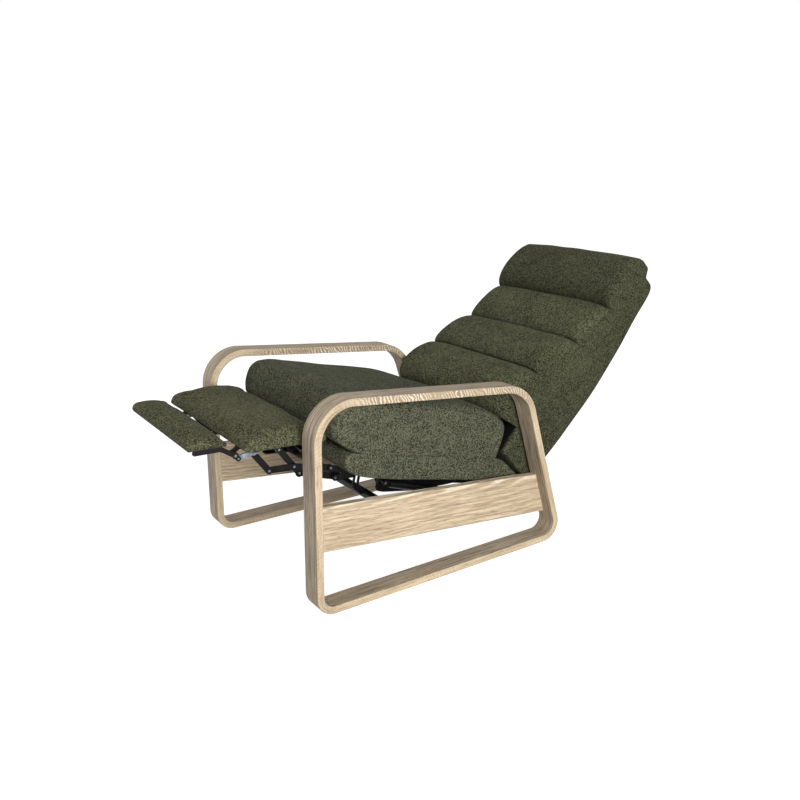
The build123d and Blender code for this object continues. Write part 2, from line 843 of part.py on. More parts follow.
def build_ottoman_bracket(side):
    rail_up = -board_thickness - 2 * lying_gap - bracket_rail_height / 2
    rail_start = point_on(ottoman_frame, board_margin + bracket_rail_height / 2, rail_up)
    rail_end = point_on(ottoman_frame, board_margin + bracket_rail_length, rail_up)
    strips = [(rail_start, rail_end, bracket_rail_height)]
    strips += [(flipper_pivot, rail_start, bracket_rail_height)]
    for pin in (front_pin, rear_pin):
        strips.append((pin, (pin[0], pin[1] + link_width), link_width))
    pins = (front_pin, rear_pin, flipper_pivot)
    holes = [(pin, hole_radius) for pin in pins]
    return build_plate(0, side, strips, [(flipper_pivot, link_width / 2)], holes)


def build_ottoman_pins():
    return build_pins([
        (rear_pin, pivot_radius, *across(0, 1)),
        (front_pin, pivot_radius, *across(0, 3)),
        (flipper_pivot, pivot_radius, *across(0, 5)),
    ])


def build_board(frame, length, half_width, margin):
    with BuildPart() as board:
        with BuildSketch(side_plane(margin - half_width, *frame)):
            with Locations((margin, -lying_gap)):
                Rectangle(length - 2 * margin, board_thickness, align=(Align.MIN, Align.MAX))
        extrude(amount=2 * (half_width - margin))
        fillet(board.edges().filter_by(lambda e: e.length < board_thickness + joint_gap), board_round)
    return board.part


def pad_outline(length, height, lift):
    front_share, via_share, rear_share = pad_shares
    over = (length * via_share, height + lift)
    steps = [(None, (0, height * front_share)), (over, (length, height * rear_share))]
    return (0, 0), steps + [(None, (length, 0))]


def build_ottoman_pad():
    def outline(crown):
        return pad_outline(ottoman_length, ottoman_thickness, ottoman_crown * crown)

    return build_soft(outline, ottoman_half_width, ottoman_frame, ottoman_round)


def build_flipper_pad():
    def outline(crown):
        return pad_outline(flipper_length, flipper_thickness, flipper_crown * crown)

    return build_soft(outline, flipper_half_width, flipper_frame, flipper_round)


def build_flipper_bracket(side):
    rail_up = -board_thickness - 2 * lying_gap - bracket_rail_height / 2
    rail_start = point_on(flipper_frame, flipper_rail_inset, rail_up)
    rail_end = point_on(flipper_frame, flipper_length - flipper_rail_inset, rail_up)
    strips = [(rail_start, rail_end, bracket_rail_height)]
    strips += [(rail_end, flipper_pivot, bracket_rail_height)]
    strips += [(flipper_pivot, crank_down, small_link_width)]
    holes = [(flipper_pivot, hole_radius), (crank_down, small_pivot_radius + pin_clearance)]
    return build_plate(5, side, strips, [(flipper_pivot, link_width / 2)], holes)


def build_flipper_pins():
    return build_pins([(crank_down, small_pivot_radius, *across(4, 5))])


def build_crossbar():
    half_span = layer_x(5) - joint_gap
    with BuildPart() as bar:
        with BuildSketch(side_plane(-half_span)):
            with Locations(crossbar_place):
                Circle(crossbar_diameter / 2)
        extrude(amount=2 * half_span)
    return bar.part


def build_flipper_link(side):
    strips = [(crank_up, crank_down, small_link_width)]
    holes = [(crank_up, small_pivot_radius + small_open_clearance)]
    holes += [(crank_down, small_pivot_radius + pin_clearance)]
    return build_plate(4, side, strips, [], holes)


# Gas springs: a cylinder on the seat plate and a rod on the back lever
spring_heading = heading(cylinder_eye, lever_pin)


def spring_plane(side, distance):
    place = reach(cylinder_eye, distance, spring_heading)
    direction = (0, cos(radians(spring_heading)), sin(radians(spring_heading)))
    origin = (side * cylinder_half_spacing, place[0] - origin_y, place[1])
    return Plane(origin=origin, x_dir=(1, 0, 0), z_dir=direction)


def build_cylinder(side):
    with BuildPart() as tube:
        with BuildSketch(side_plane(near_x(cylinder_half_spacing - eye_width / 2, eye_width, side))):
            neck = reach(cylinder_eye, eye_neck, spring_heading)
            with Locations(middle(cylinder_eye, neck)):
                SlotCenterToCenter(span(cylinder_eye, neck), 2 * eye_radius, rotation=spring_heading)
            with Locations(cylinder_eye):
                Circle(eye_pin_diameter / 2 + pin_clearance, mode=Mode.SUBTRACT)
        extrude(amount=eye_width)
        with BuildSketch(spring_plane(side, eye_neck)):
            Circle(cylinder_diameter / 2)
        extrude(amount=cylinder_length)
        with BuildSketch(spring_plane(side, eye_neck + cylinder_length)):
            Circle(rod_seal_bore / 2)
        extrude(amount=-(rod_insert + eye_width), mode=Mode.SUBTRACT)
    return tube.part


def build_rod(side):
    rod_start = eye_neck + cylinder_length - rod_insert
    rod_end = span(cylinder_eye, lever_pin) - (eye_radius + eye_pin_diameter / 2 + rod_eye_clearance) / 2
    with BuildPart() as rod:
        with BuildSketch(spring_plane(side, rod_start)):
            Circle(rod_diameter / 2)
        extrude(amount=rod_end - rod_start)
        with BuildSketch(side_plane(near_x(cylinder_half_spacing - eye_width / 2, eye_width, side))):
            with Locations(lever_pin):
                Circle(eye_radius)
                Circle(eye_pin_diameter / 2 + rod_eye_clearance, mode=Mode.SUBTRACT)
        extrude(amount=eye_width)
    return rod.part


write(build_base(), "seat_base")
write(build_cushion(), "seat_cushion")
write_pair(build_seat_plate, "seat_plate")
write_pair(build_hinge_plate, "hinge_plate")
write(build_seat_pins(), "seat_pins")
write(build_shell(), "back_shell")
for number, name in enumerate(("lumbar_roll", "middle_roll", "shoulder_roll", "headrest_roll")):
    write(build_roll(number), name)
write_pair(build_back_bracket, "back_bracket")
write_pair(build_cylinder, "gas_cylinder")
write_pair(build_rod, "gas_rod")
write_pair(build_drive_link, "drive_link")
write(build_drive_pins(), "drive_pins")
write_pair(build_cross_link, "cross_link")
write_pair(build_control_link, "control_link")
write(build_control_pins(), "control_pins")
write_pair(build_front_link, "front_link")
write(build_front_link_pins(), "front_link_pins")
write_pair(build_ottoman_bracket, "ottoman_bracket")
write(build_ottoman_pins(), "ottoman_pins")
ottoman_board = build_board(ottoman_frame, ottoman_length, ottoman_half_width, board_margin)
write(ottoman_board, "ottoman_board")
write(build_ottoman_pad(), "ottoman_pad")
write_pair(build_flipper_bracket, "flipper_bracket")
write(build_flipper_pins(), "flipper_pins")
write(build_crossbar(), "flipper_crossbar")
flipper_board = build_board(flipper_frame, flipper_length, flipper_half_width, flipper_board_margin)
write(flipper_board, "flipper_board")
write(build_flipper_pad(), "flipper_pad")
write_pair(build_flipper_link, "flipper_link")
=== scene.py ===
# %% [markdown]
# # A push-back reclining armchair in limed oak and olive chenille
# The chair lies fully reclined. Two oak strips, each bent into a closed loop, stand on the floor as
# its sides. A padded seat, a back of four soft rolls and a footrest in two panels hang between them
# on black steel links. The steel, the rails and the boards come from the measured frame and only
# need a finish. Everything soft is made here, as surfaces worked out from a few lines of the side
# view.

# %% Set-up
from math import cos, pi, radians, sin

import bmesh
import bpy
import numpy as np
from mathutils import Matrix, Vector


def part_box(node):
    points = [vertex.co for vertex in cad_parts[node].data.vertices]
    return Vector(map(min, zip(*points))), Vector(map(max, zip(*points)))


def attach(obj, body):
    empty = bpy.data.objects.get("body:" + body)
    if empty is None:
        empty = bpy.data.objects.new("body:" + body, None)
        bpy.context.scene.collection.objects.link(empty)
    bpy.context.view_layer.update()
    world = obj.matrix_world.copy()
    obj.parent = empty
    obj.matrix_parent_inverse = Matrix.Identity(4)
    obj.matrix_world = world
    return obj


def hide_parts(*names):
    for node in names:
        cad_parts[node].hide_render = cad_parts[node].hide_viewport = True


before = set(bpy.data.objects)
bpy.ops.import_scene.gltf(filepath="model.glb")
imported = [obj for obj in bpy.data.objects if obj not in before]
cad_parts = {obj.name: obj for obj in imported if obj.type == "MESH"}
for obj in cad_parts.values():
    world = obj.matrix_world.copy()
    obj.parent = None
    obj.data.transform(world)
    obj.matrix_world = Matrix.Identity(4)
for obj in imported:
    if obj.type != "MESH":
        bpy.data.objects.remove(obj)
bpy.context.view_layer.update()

# %% [markdown]
# ## The camera
# The picture was taken from the front left corner, a little above the arms. A camera looks along its
# own minus Z, so its three axes are written out as right, up and back. That keeps the small roll of
# the picture, which a "look at" helper would lose.

# %% Camera
CAMERA_PLACE = (2.0737, -1.5105, 1.2002)
CAMERA_TURN, CAMERA_RISE, CAMERA_ROLL = radians(54.389), radians(16.565), radians(0.811)
CAMERA_LENS = 37.41

flat = cos(CAMERA_RISE)
back = Vector((sin(CAMERA_TURN) * flat, -cos(CAMERA_TURN) * flat, sin(CAMERA_RISE)))
right = Vector((cos(CAMERA_TURN), sin(CAMERA_TURN), 0))
up = back.cross(right)
rolled_right = right * cos(CAMERA_ROLL) + up * sin(CAMERA_ROLL)
rolled_up = up * cos(CAMERA_ROLL) - right * sin(CAMERA_ROLL)
camera = bpy.data.objects.new("camera", bpy.data.cameras.new("camera"))
camera.data.lens = CAMERA_LENS
axes = Matrix((rolled_right, rolled_up, back)).transposed().to_4x4()
camera.matrix_world = Matrix.Translation(CAMERA_PLACE) @ axes
bpy.context.scene.collection.objects.link(camera)
bpy.context.scene.camera = camera
print("camera at", CAMERA_PLACE)

# %% [markdown]
# ## Shader maths
# A finish is easier to read as sums than as a picture of nodes. `Value` wraps the output of a node
# and answers to +, -, * and **, each of which adds one Math node. `Finish` makes a material with one
# principled shader, adds any other node by its type, and joins numbers or links to its sockets.

# %% Values and finishes
class Value:
    """One output of a node, which adds Math nodes when it is used in a sum."""

    def __init__(self, finish, socket):
        self.finish, self.socket = finish, socket

    def math(self, operation, *others):
        sockets = dict(enumerate((self,) + others))
        return self.finish.node("ShaderNodeMath", {"operation": operation}, sockets)

    def __add__(self, other):
        return self.math("ADD", other)

    def __mul__(self, other):
        return self.math("MULTIPLY", other)

    def __sub__(self, other):
        return self.math("SUBTRACT", other)

    def __pow__(self, other):
        return self.math("POWER", other)

    def __rsub__(self, other):
        return self * -1 + other

    __radd__, __rmul__ = __add__, __mul__

    def ramp(self, low, high):
        """0 below low, 1 above high, and a smooth step between them."""
        settings = {"interpolation_type": "SMOOTHSTEP"}
        return self.finish.node("ShaderNodeMapRange", settings, {"Value": self, 1: low, 2: high})


class Finish:
    """A material with one principled shader; the names given at the start are its fixed values."""

    def __init__(self, name, **fixed):
        self.material = bpy.data.materials.new(name)
        self.material.use_nodes = True
        self.tree = self.material.node_tree
        self.tree.nodes.clear()
        output = self.tree.nodes.new("ShaderNodeOutputMaterial")
        self.shader = self.tree.nodes.new("ShaderNodeBsdfPrincipled")
        self.tree.links.new(self.shader.outputs[0], output.inputs[0])
        for title, value in fixed.items():
            self.shader.inputs[title.replace("_", " ")].default_value = value

    def put(self, socket, value):
        """A link, a colour of three numbers or a plain value into a socket."""
        if isinstance(value, Value):
            self.tree.links.new(value.socket, socket)
        elif isinstance(value, tuple) and len(value) == 3 and socket.type == "RGBA":
            socket.default_value = value + (1,)
        else:
            socket.default_value = value

    def node(self, kind, settings=None, sockets=None, output=0):
        """Any node: its settings come first, then the values or links of its sockets."""
        made = self.tree.nodes.new(kind)
        for title, value in (settings or {}).items():
            setattr(made, title, value)
        for key, value in (sockets or {}).items():
            self.put(made.inputs[key], value)
        return Value(self, made.outputs[output])

    def mix(self, share, a, b):
        """A colour between a and b; the node's colours are its inputs 6 and 7 and its output 2."""
        return self.node("ShaderNodeMix", {"data_type": "RGBA"}, {0: share, 6: a, 7: b}, 2)

    def noise(self, place, scale, detail=2.0, rough=0.5, stretch=None, twist=0.0):
        """Cloudy noise from 0 to 1 at a scale in features per metre."""
        if stretch:
            place = self.node("ShaderNodeMapping", None, {"Vector": place, "Scale": stretch})
        sockets = {"Vector": place, "Scale": scale, "Detail": detail}
        sockets.update({"Roughness": rough, "Distortion": twist})
        return self.node("ShaderNodeTexNoise", None, sockets)

    def place(self):
        """A point's own place in metres."""
        return self.node("ShaderNodeTexCoord", None, None, "Object")

    def map(self, title):
        """A point's place in one of the piece's maps."""
        return self.node("ShaderNodeUVMap", {"uv_map": title})

    def split(self, vector):
        """The three numbers of a vector."""
        parts = self.node("ShaderNodeSeparateXYZ", None, {0: vector})
        return [Value(self, socket) for socket in parts.socket.node.outputs]

    def join(self, x, y, z):
        """A vector of three numbers."""
        return self.node("ShaderNodeCombineXYZ", None, {0: x, 1: y, 2: z})

    def bump(self, height, depth, under=None):
        """A surface that rises by depth metres where height is 1."""
        sockets = {"Height": height, "Distance": depth, "Strength": 1.0}
        if under:
            sockets["Normal"] = under
        return self.node("ShaderNodeBump", None, sockets)

    def finish(self, **inputs):
        """Joins what changes over the surface to the shader, and gives back the material."""
        for title, value in inputs.items():
            self.put(self.shader.inputs[title.replace("_", " ")], value)
        return self.material


print("shader helpers ready")

# %% [markdown]
# ## Floor, lamps and sky
# A plain floor catches a soft shadow. Four broad lamps light the chair: a large one from the front
# left, as in the picture, a weaker one from the other side, a faint one overhead and one behind. A
# stronger sky alone would be simpler, but it would wash out the colours. So the camera sees the sky
# and the floor as white, and so do the polished parts, while the chair gets only a quiet fill from
# them: a Light Path node tells the two kinds of rays apart.

# %% Floor, lamps and sky
FLOOR_HALF, FLOOR_GREY = 20.0, 0.36
SKY_FILL, FLOOR_GLOW = 0.35, 0.90
WHITE = (1, 1, 1, 1)
AIM = Vector((0, 0, 0.4))
LAMPS = [  # name, place, width in metres, power in watts
    ("key lamp", (4.1, -1.2, 1.5), 2.2, 205.0),
    ("side lamp", (-2.6, -3.4, 1.5), 2.6, 56.0),
    ("top lamp", (0.4, 0.9, 4.2), 3.0, 12.0),
    ("rear lamp", (-1.4, 4.4, 0.9), 2.4, 46.0),
]


def seen(tree):
    """1 for the rays that show the surroundings: camera rays, mirrored ones, those through glass."""
    rays = tree.nodes.new("ShaderNodeLightPath")
    total = rays.outputs["Is Camera Ray"]
    for title in ("Is Glossy Ray", "Is Transmission Ray"):
        joined = tree.nodes.new("ShaderNodeMath")
        joined.operation, joined.use_clamp = "ADD", True
        tree.links.new(total, joined.inputs[0])
        tree.links.new(rays.outputs[title], joined.inputs[1])
        total = joined.outputs[0]
    return total


world = bpy.data.worlds.new("sky")
bpy.context.scene.world = world
world.use_nodes = True
sky = world.node_tree
strength = sky.nodes.new("ShaderNodeMapRange")
strength.inputs[3].default_value = SKY_FILL
strength.inputs[4].default_value = 1.0
sky.links.new(seen(sky), strength.inputs[0])
sky.links.new(strength.outputs[0], sky.nodes["Background"].inputs["Strength"])
sky.nodes["Background"].inputs["Color"].default_value = WHITE

floor_colour = (FLOOR_GREY, FLOOR_GREY, FLOOR_GREY, 1)
floor_finish = Finish("floor white", Base_Color=floor_colour, Roughness=1.0, Specular_IOR_Level=0.0)
floor_finish.shader.inputs["Emission Color"].default_value = WHITE
glow = Value(floor_finish, seen(floor_finish.tree)) * FLOOR_GLOW
floor_finish.put(floor_finish.shader.inputs["Emission Strength"], glow)

corners = [(a * FLOOR_HALF, b * FLOOR_HALF, 0) for a, b in ((-1, -1), (1, -1), (1, 1), (-1, 1))]
floor_mesh = bpy.data.meshes.new("floor")
floor_mesh.from_pydata(corners, [], [(0, 1, 2, 3)])
floor_mesh.materials.append(floor_finish.material)
floor = bpy.data.objects.new("floor", floor_mesh)
bpy.context.scene.collection.objects.link(floor)
for name, place, size, power in LAMPS:
    lamp = bpy.data.objects.new(name, bpy.data.lights.new(name, "AREA"))
    lamp.data.shape = "DISK"
    lamp.data.size = size
    lamp.data.energy = power
    lamp.location = place
    lamp.rotation_euler = (AIM - Vector(place)).to_track_quat("-Z", "Y").to_euler()
    bpy.context.scene.collection.objects.link(lamp)
bpy.context.scene.view_settings.view_transform = "Standard"
print("lamps:", [lamp[0] for lamp in LAMPS])

# %% [markdown]
# ## Chenille
# The chair is covered in chenille, a cloth woven from fuzzy yarn. Close up it shows short, soft tufts
# of many shades. From afar the pile lies this way and that. A tiled picture of cloth would show its
# repeats and would need a map on every cushion, so the cloth is worked out from the place of each
# point. Small cells give the tufts, a fine noise the fuzz between them, and two wide noises the lay of
# the pile. Shade is also painted into the colour: an attribute on each piece darkens the cloth under
# the rolls, over the headrest, down the sides and over the seat top, and paints it black in the
# deepest shade. The fine cells are also a bump, and a faint sheen stands for the fuzz at the edges.

# %% Chenille
# The colour that the painted shade darkens the cloth towards.
PAINTED_SHADE_BLACK = (0.003, 0.003, 0.003)
SHEEN_TINT = (0.56, 0.58, 0.44, 1)
CLOTH_SHINE = {"Sheen_Weight": 0.05, "Sheen_Roughness": 0.4, "Specular_IOR_Level": 0.06}


def make_chenille(name, dark, pale, napped=True):
    """Olive cloth: each tuft has its own shade from dark to pale, on wide patches where the pile
    lies another way. Painted shade: a per-point attribute darkens the cloth towards black, a little
    under the rolls and down the sides, and fully where it is 1, in the deepest shade."""
    cloth = Finish(name, Roughness=0.95, **CLOTH_SHINE)
    cloth.shader.inputs["Sheen Tint"].default_value = SHEEN_TINT
    place = cloth.place()
    patches = cloth.noise(place, 5, 2, 0.5, twist=0.4)
    brushed = cloth.noise(place, 26, 3, 0.6, stretch=(0.5, 1, 1), twist=0.3)
    fuzz = cloth.noise(place, 310, 3, 0.85)
    cells = cloth.node("ShaderNodeTexVoronoi", None, {"Vector": place, "Scale": 360.0}, "Color")
    tufts = cloth.split(cells)[0]
    speckle = (tufts * 0.30 + fuzz * 0.70).ramp(0.34, 0.69)
    lay = (patches * 0.4 + brushed * 0.6).ramp(0.36, 0.64)
    colour = cloth.mix(speckle * 0.86 + lay * 0.14, dark, pale)
    # Painted shade: the cloth is mixed towards black by the per-point attribute.
    if napped:
        nap = cloth.node("ShaderNodeAttribute", {"attribute_name": "nap"}, None, "Fac")
        colour = cloth.mix(nap, colour, PAINTED_SHADE_BLACK)
    soft = cloth.bump(brushed, 0.0006)
    fine = cloth.bump(tufts * 0.25 + fuzz * 0.75, 0.0016, soft)
    return cloth.finish(Base_Color=colour, Normal=fine)


# One chenille in three copies. Their pale tones are set piece by piece to how bright each piece looks
# under the light, so they differ as painted light and shade; the back's is raised to make up for its
# painted shade.
back_cloth = make_chenille("back chenille", (0.009, 0.010, 0.005), (0.154, 0.159, 0.090))
seat_cloth = make_chenille("seat chenille", (0.010, 0.011, 0.006), (0.166, 0.172, 0.112))
rest_cloth = make_chenille(
    "footrest chenille", (0.011, 0.011, 0.005), (0.168, 0.168, 0.096), napped=False
)
print("cloths:", back_cloth.name, seat_cloth.name, rest_cloth.name)

# %% [markdown]
# ## Limed oak
# The wood of the chair is oak, brushed and then limed, which leaves white in its open grain. Both
# kinds of oak piece share their colours, their long thin lines and their short dark pores. The lines
# could come from one stretched picture, but noise stretched along the grain never repeats, and it
# runs at the same scale on every piece.

# %% Oak
CREAM_OAK, PALE_OAK, TAN_OAK = (0.68, 0.545, 0.365), (0.46, 0.375, 0.265), (0.37, 0.275, 0.175)
GREY_OAK, PORE, LIME = (0.195, 0.158, 0.115), (0.095, 0.070, 0.048), (0.86, 0.78, 0.64)
ARM_OAK = (0.30, 0.215, 0.130)
OAK_GLOSS, GRAIN_DEPTH = 0.32, 0.0005


def grain(oak, place, fine):
    """Long thin lines of grain, and the short dark pores between them."""
    lines = oak.noise(place, fine, 4, 0.72, stretch=(0.045, 1.4, 1.4))
    pores = oak.noise(place, fine * 2.4, 2, 0.6, stretch=(0.08, 1.5, 1.5)).ramp(0.56, 0.70)
    return lines, pores


def finish_oak(oak, name, wood, lines, pores):
    """Joins the colour to the shader; the lines stand up a little, the pores lie lower and duller."""
    oak.material.name = name
    oak.shader.inputs["Specular IOR Level"].default_value = OAK_GLOSS
    relief = oak.bump(lines * 0.6 - pores, GRAIN_DEPTH)
    rough = lines * 0.15 + 0.52 + pores * 0.15
    return oak.finish(Base_Color=wood, Roughness=rough, Normal=relief)


print("oak helpers ready")

# %% [markdown]
# ## The oak of the bent strips
# The wide faces of the strips are grey brown with long thin lines. Their edges are cream, and on the
# arms they are darker, with bright rays that cross the layers at a slant. The grain of a bent strip
# turns with every bend, which no pattern in plain space would do. So it is laid out on two maps of
# the strip: the distance along it with the place across it, and the depth through it.

# %% Oak of the strips
ARM_START, ARM_END, ARM_BLEND = 0.66, 1.38, 0.08  # metres along the strip
RAYS_ALONG, RAYS_THROUGH, RAY_SWAY = 88, 60, 3.2  # rays per metre each way, and how they wander
EDGE_START, EDGE_FULL = 0.0312, 0.0328  # metres from the middle of the strip

strip = Finish("strip")
along, across, _ = strip.split(strip.map("strip"))
deep, run, _ = strip.split(strip.map("depth"))
place = strip.join(along, across, deep)
lines, pores = grain(strip, place, 120)
cloud = strip.noise(place, 6, 3, 0.6, stretch=(0.7, 3, 3))
face = strip.mix(lines.ramp(0.38, 0.60), GREY_OAK, PALE_OAK)
face = strip.mix(cloud.ramp(0.44, 0.66) * 0.55, face, TAN_OAK)
face = strip.mix(pores * 0.7, face, PORE)

lean = strip.noise(place, 34, 2, 0.5, stretch=(0.8, 1, 1.2))
turns = along * RAYS_ALONG + deep * RAYS_THROUGH + lean * RAY_SWAY
rays = (turns * (2 * pi)).math("SINE") * 0.5 + 0.5
rising = run.ramp(ARM_START, ARM_START + ARM_BLEND)
on_arm = rising * (1 - run.ramp(ARM_END - ARM_BLEND, ARM_END))
streaks = strip.noise(place, 3.5, 2, 0.5, stretch=(1, 0.1, 0.1)).ramp(0.34, 0.56)
lively = streaks * (on_arm * 0.8 + 0.2)
edge = strip.mix(lines.ramp(0.30, 0.70) * 0.8, TAN_OAK, CREAM_OAK)
edge = strip.mix(cloud.ramp(0.40, 0.66) * 0.5, edge, CREAM_OAK)
edge = strip.mix(on_arm * 0.58, edge, ARM_OAK)
edge = strip.mix((1 - rays).ramp(0.40, 0.90) * lively * 0.60, edge, ARM_OAK)
edge = strip.mix(rays.ramp(0.56, 0.90) * lively * 0.70, edge, LIME)
edge = strip.mix(pores * 0.35, edge, PORE)
is_edge = across.math("ABSOLUTE").ramp(EDGE_START, EDGE_FULL)
oak_strip = finish_oak(strip, "bent oak", strip.mix(is_edge, face, edge), lines, pores)
print("oak of the strips:", oak_strip.name)

# %% [markdown]
# ## The oak of the planks
# The planks between the legs show arches, because a board is cut across rings that run round a long
# axis. Arches could be drawn as curves one by one. Here they come by themselves: the figure is the
# distance of each point to that axis, which leans a little away from the plank and wanders with a
# slow noise.

# %% Oak of the planks
PLANK_SLOPE = radians(5.6)
AXIS_IN, AXIS_HIGH, AXIS_LEAN = 0.268, 0.262, 0.085  # metres from the middle, up, and per metre
RING_STEP, RING_SWAY_IN, RING_SWAY_UP = 0.0140, 0.060, 0.070  # metres

plank = Finish("plank")
x, y, z = plank.split(plank.place())
along = y * cos(PLANK_SLOPE) - z * sin(PLANK_SLOPE)
across = y * sin(PLANK_SLOPE) + z * cos(PLANK_SLOPE) - AXIS_HIGH
through = x.math("ABSOLUTE") - AXIS_IN
place = plank.join(along, across, through)
lines, pores = grain(plank, place, 130)
sway = plank.noise(place, 5.5, 3, 0.55, stretch=(0.8, 2.6, 2.6))
deep = through + along * AXIS_LEAN + (sway - 0.5) * RING_SWAY_IN
wide = across + (sway - 0.5) * RING_SWAY_UP
far = (deep * deep + wide * wide) ** 0.5
rings = (far * (2 * pi / RING_STEP) + (lines - 0.5) * 2.0).math("SINE") * 0.5 + 0.5
arched = across.ramp(-0.040, 0.004)
clouds = plank.noise(place, 5, 3, 0.6, stretch=(0.7, 3, 3))
wood = plank.mix(lines.ramp(0.36, 0.62) * 0.8, TAN_OAK, CREAM_OAK)
wood = plank.mix((1 - rings).ramp(0.30, 0.90) * (arched * 0.6 + 0.2), wood, TAN_OAK)
wood = plank.mix(rings.ramp(0.60, 0.90) * (arched * 0.7 + 0.2), wood, LIME)
wood = plank.mix(clouds.ramp(0.52, 0.76) * 0.4, wood, TAN_OAK)
wood = plank.mix(pores * 0.45, wood, PORE)
oak_plank = finish_oak(plank, "plank oak", wood, lines, pores)
print("oak of the planks:", oak_plank.name)

# %% [markdown]
# ## Metal and board
# The links are pressed steel in black paint, a little dusty, with bare grey where they rub. Pins and
# bolts are zinc plated, which is pale and faintly mottled. The rods of the gas springs are polished.
# The boards under the footrest are thin dark plywood, seen only from below. One recipe of clouds and
# fine scratches does for all the metals, because they differ only in colour, gloss and scale.

# %% Metal and board
def make_metal(name, dark, pale, metallic, rough, scale, depth, gloss=0.5):
    """Metal or paint, cloudy between two colours; scratches wear it to the pale one, and shiny."""
    metal = Finish(name, Specular_IOR_Level=gloss)
    place = metal.place()
    cloud = metal.noise(place, scale, 3, 0.6)
    scratch = metal.noise(place, scale * 6, 2, 0.7, stretch=(1, 0.12, 1))
    uneven = scratch * 0.6 + cloud * 0.4
    colour = metal.mix(cloud.ramp(0.35, 0.7), dark, pale)
    worn = uneven.ramp(0.58, 0.66)
    return metal.finish(
        Base_Color=metal.mix(worn * 0.35, colour, pale),
        Roughness=cloud * 0.25 + rough - worn * 0.08,
        Metallic=worn * (1 - metallic) * 0.5 + metallic,
        Normal=metal.bump(uneven, depth),
    )


def make_board():
    """Dark stained board: long lines of grain under slow clouds."""
    board = Finish("plywood", Specular_IOR_Level=0.3)
    place = board.place()
    lines = board.noise(place, 60, 4, 0.65, stretch=(0.06, 1, 1), twist=0.3)
    cloud = board.noise(place, 12, 2, 0.5)
    colour = board.mix(lines.ramp(0.35, 0.68), (0.040, 0.034, 0.028), (0.022, 0.019, 0.016))
    colour = board.mix(cloud.ramp(0.45, 0.7) * 0.4, colour, (0.016, 0.014, 0.012))
    relief = board.bump(lines, 0.0004)
    return board.finish(Base_Color=colour, Roughness=lines * 0.2 + 0.6, Normal=relief)


# After the two colours: how metallic, how rough, clouds per metre, depth in metres, gloss.
black_steel = make_metal(
    "black steel", (0.0020, 0.0021, 0.0023), (0.0060, 0.0062, 0.0066), 0.0, 0.30, 60, 0.0002, 0.18
)
zinc = make_metal("zinc plate", (0.16, 0.165, 0.17), (0.30, 0.31, 0.32), 0.9, 0.26, 180, 0.0001)
blue_steel = make_metal(
    "blued link", (0.16, 0.20, 0.24), (0.34, 0.40, 0.46), 0.85, 0.16, 90, 0.0001
)
chrome = make_metal("polished rod", (0.60, 0.61, 0.63), (0.74, 0.75, 0.76), 1.0, 0.04, 40, 0.00003)
plywood = make_board()
print("metals and board:", [m.name for m in (black_steel, zinc, blue_steel, chrome, plywood)])

# %% [markdown]
# ## Finishes on the measured parts
# The steel, the rails, the dowels and the boards keep their measured shapes. They could be modelled
# again with more detail, but these are plain flat parts, so a good finish is enough. Each name below
# starts a family of parts, and each family gets one finish.

# %% Finishes on the measured parts
FINISHES = [
    (("side_rail", "rail_dowels"), oak_plank),
    (("ottoman_board", "flipper_board"), plywood),
    (("base_bolts", "seat_pins", "drive_pins", "control_pins", "front_link_pins"), zinc),
    (("ottoman_pins", "flipper_pins"), zinc),
    (("gas_rod",), chrome),
    (("flipper_link",), blue_steel),
    (("base_angle", "front_cross_tube", "rear_cross_tube", "seat_plate"), black_steel),
    (("hinge_plate", "back_bracket", "gas_cylinder", "drive_link", "cross_link"), black_steel),
    (("control_link", "front_link", "ottoman_bracket", "flipper_bracket"), black_steel),
    (("flipper_crossbar",), black_steel),
]
nodes = {node: bpy.data.objects[node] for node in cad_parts}
finished = set()
for families, material in FINISHES:
    for name, node in nodes.items():
        if name not in finished and name.startswith(families):
            finished.add(name)
            node.data.materials.clear()
            node.data.materials.append(material)
print("finished", len(finished), "of", len(nodes), "measured parts")
print("left for the pieces below:", sorted(set(nodes) - finished))

# %% [markdown]
# ## From a grid of points to a surface
# Every new piece is a grid: rows run one way over its surface and columns the other. `skin` turns a
# grid into a closed mesh. Where a row shrinks to a line or a point, the points that coincide are
# merged, so the ends close by themselves. A map gives each corner of each face its place in a
# pattern, and may jump where the grid comes round to its start.

# %% Skin
ORIGIN_Y = 539.55  # millimetres from the front of the loops back to the middle of the frame
MERGE = 2e-6


def skin(name, grid, body, material, along=False, maps=None, nap=None):
    """Rows and columns of points in metres become quads. Columns always close round, and rows do if
    along. Each quad joins a point to its next column, its next row and the one across."""
    rows, columns = grid.shape[:2]
    starts = np.arange(rows if along else rows - 1)
    r, c = (n.ravel() for n in np.meshgrid(starts, np.arange(columns), indexing="ij"))
    corners = [(r, c), (r, c + 1), (r + 1, c + 1), (r + 1, c)]
    faces = np.stack([(a % rows) * columns + b % columns for a, b in corners], 1)
    mesh = bpy.data.meshes.new(name)
    mesh.from_pydata(grid.reshape(-1, 3).tolist(), [], faces.tolist())
    for title, plan in (maps or {}).items():
        places = np.stack([plan[a, b] for a, b in corners], 1).astype(np.float32)
        mesh.uv_layers.new(name=title).data.foreach_set("uv", places.ravel())
    # The per-point painted shade becomes an attribute that the chenille reads.
    if nap is not None:
        turned = mesh.attributes.new("nap", "FLOAT", "POINT")
        turned.data.foreach_set("value", nap.astype(np.float32).ravel())
    work = bmesh.new()
    work.from_mesh(mesh)
    bmesh.ops.remove_doubles(work, verts=work.verts, dist=MERGE)
    bmesh.ops.recalc_face_normals(work, faces=work.faces)
    work.to_mesh(mesh)
    work.free()
    mesh.polygons.foreach_set("use_smooth", np.ones(len(mesh.polygons), bool))
    piece = bpy.data.objects.new(name, mesh)
    bpy.context.scene.collection.objects.link(piece)
    mesh.materials.append(material)
    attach(piece, body)
    return piece


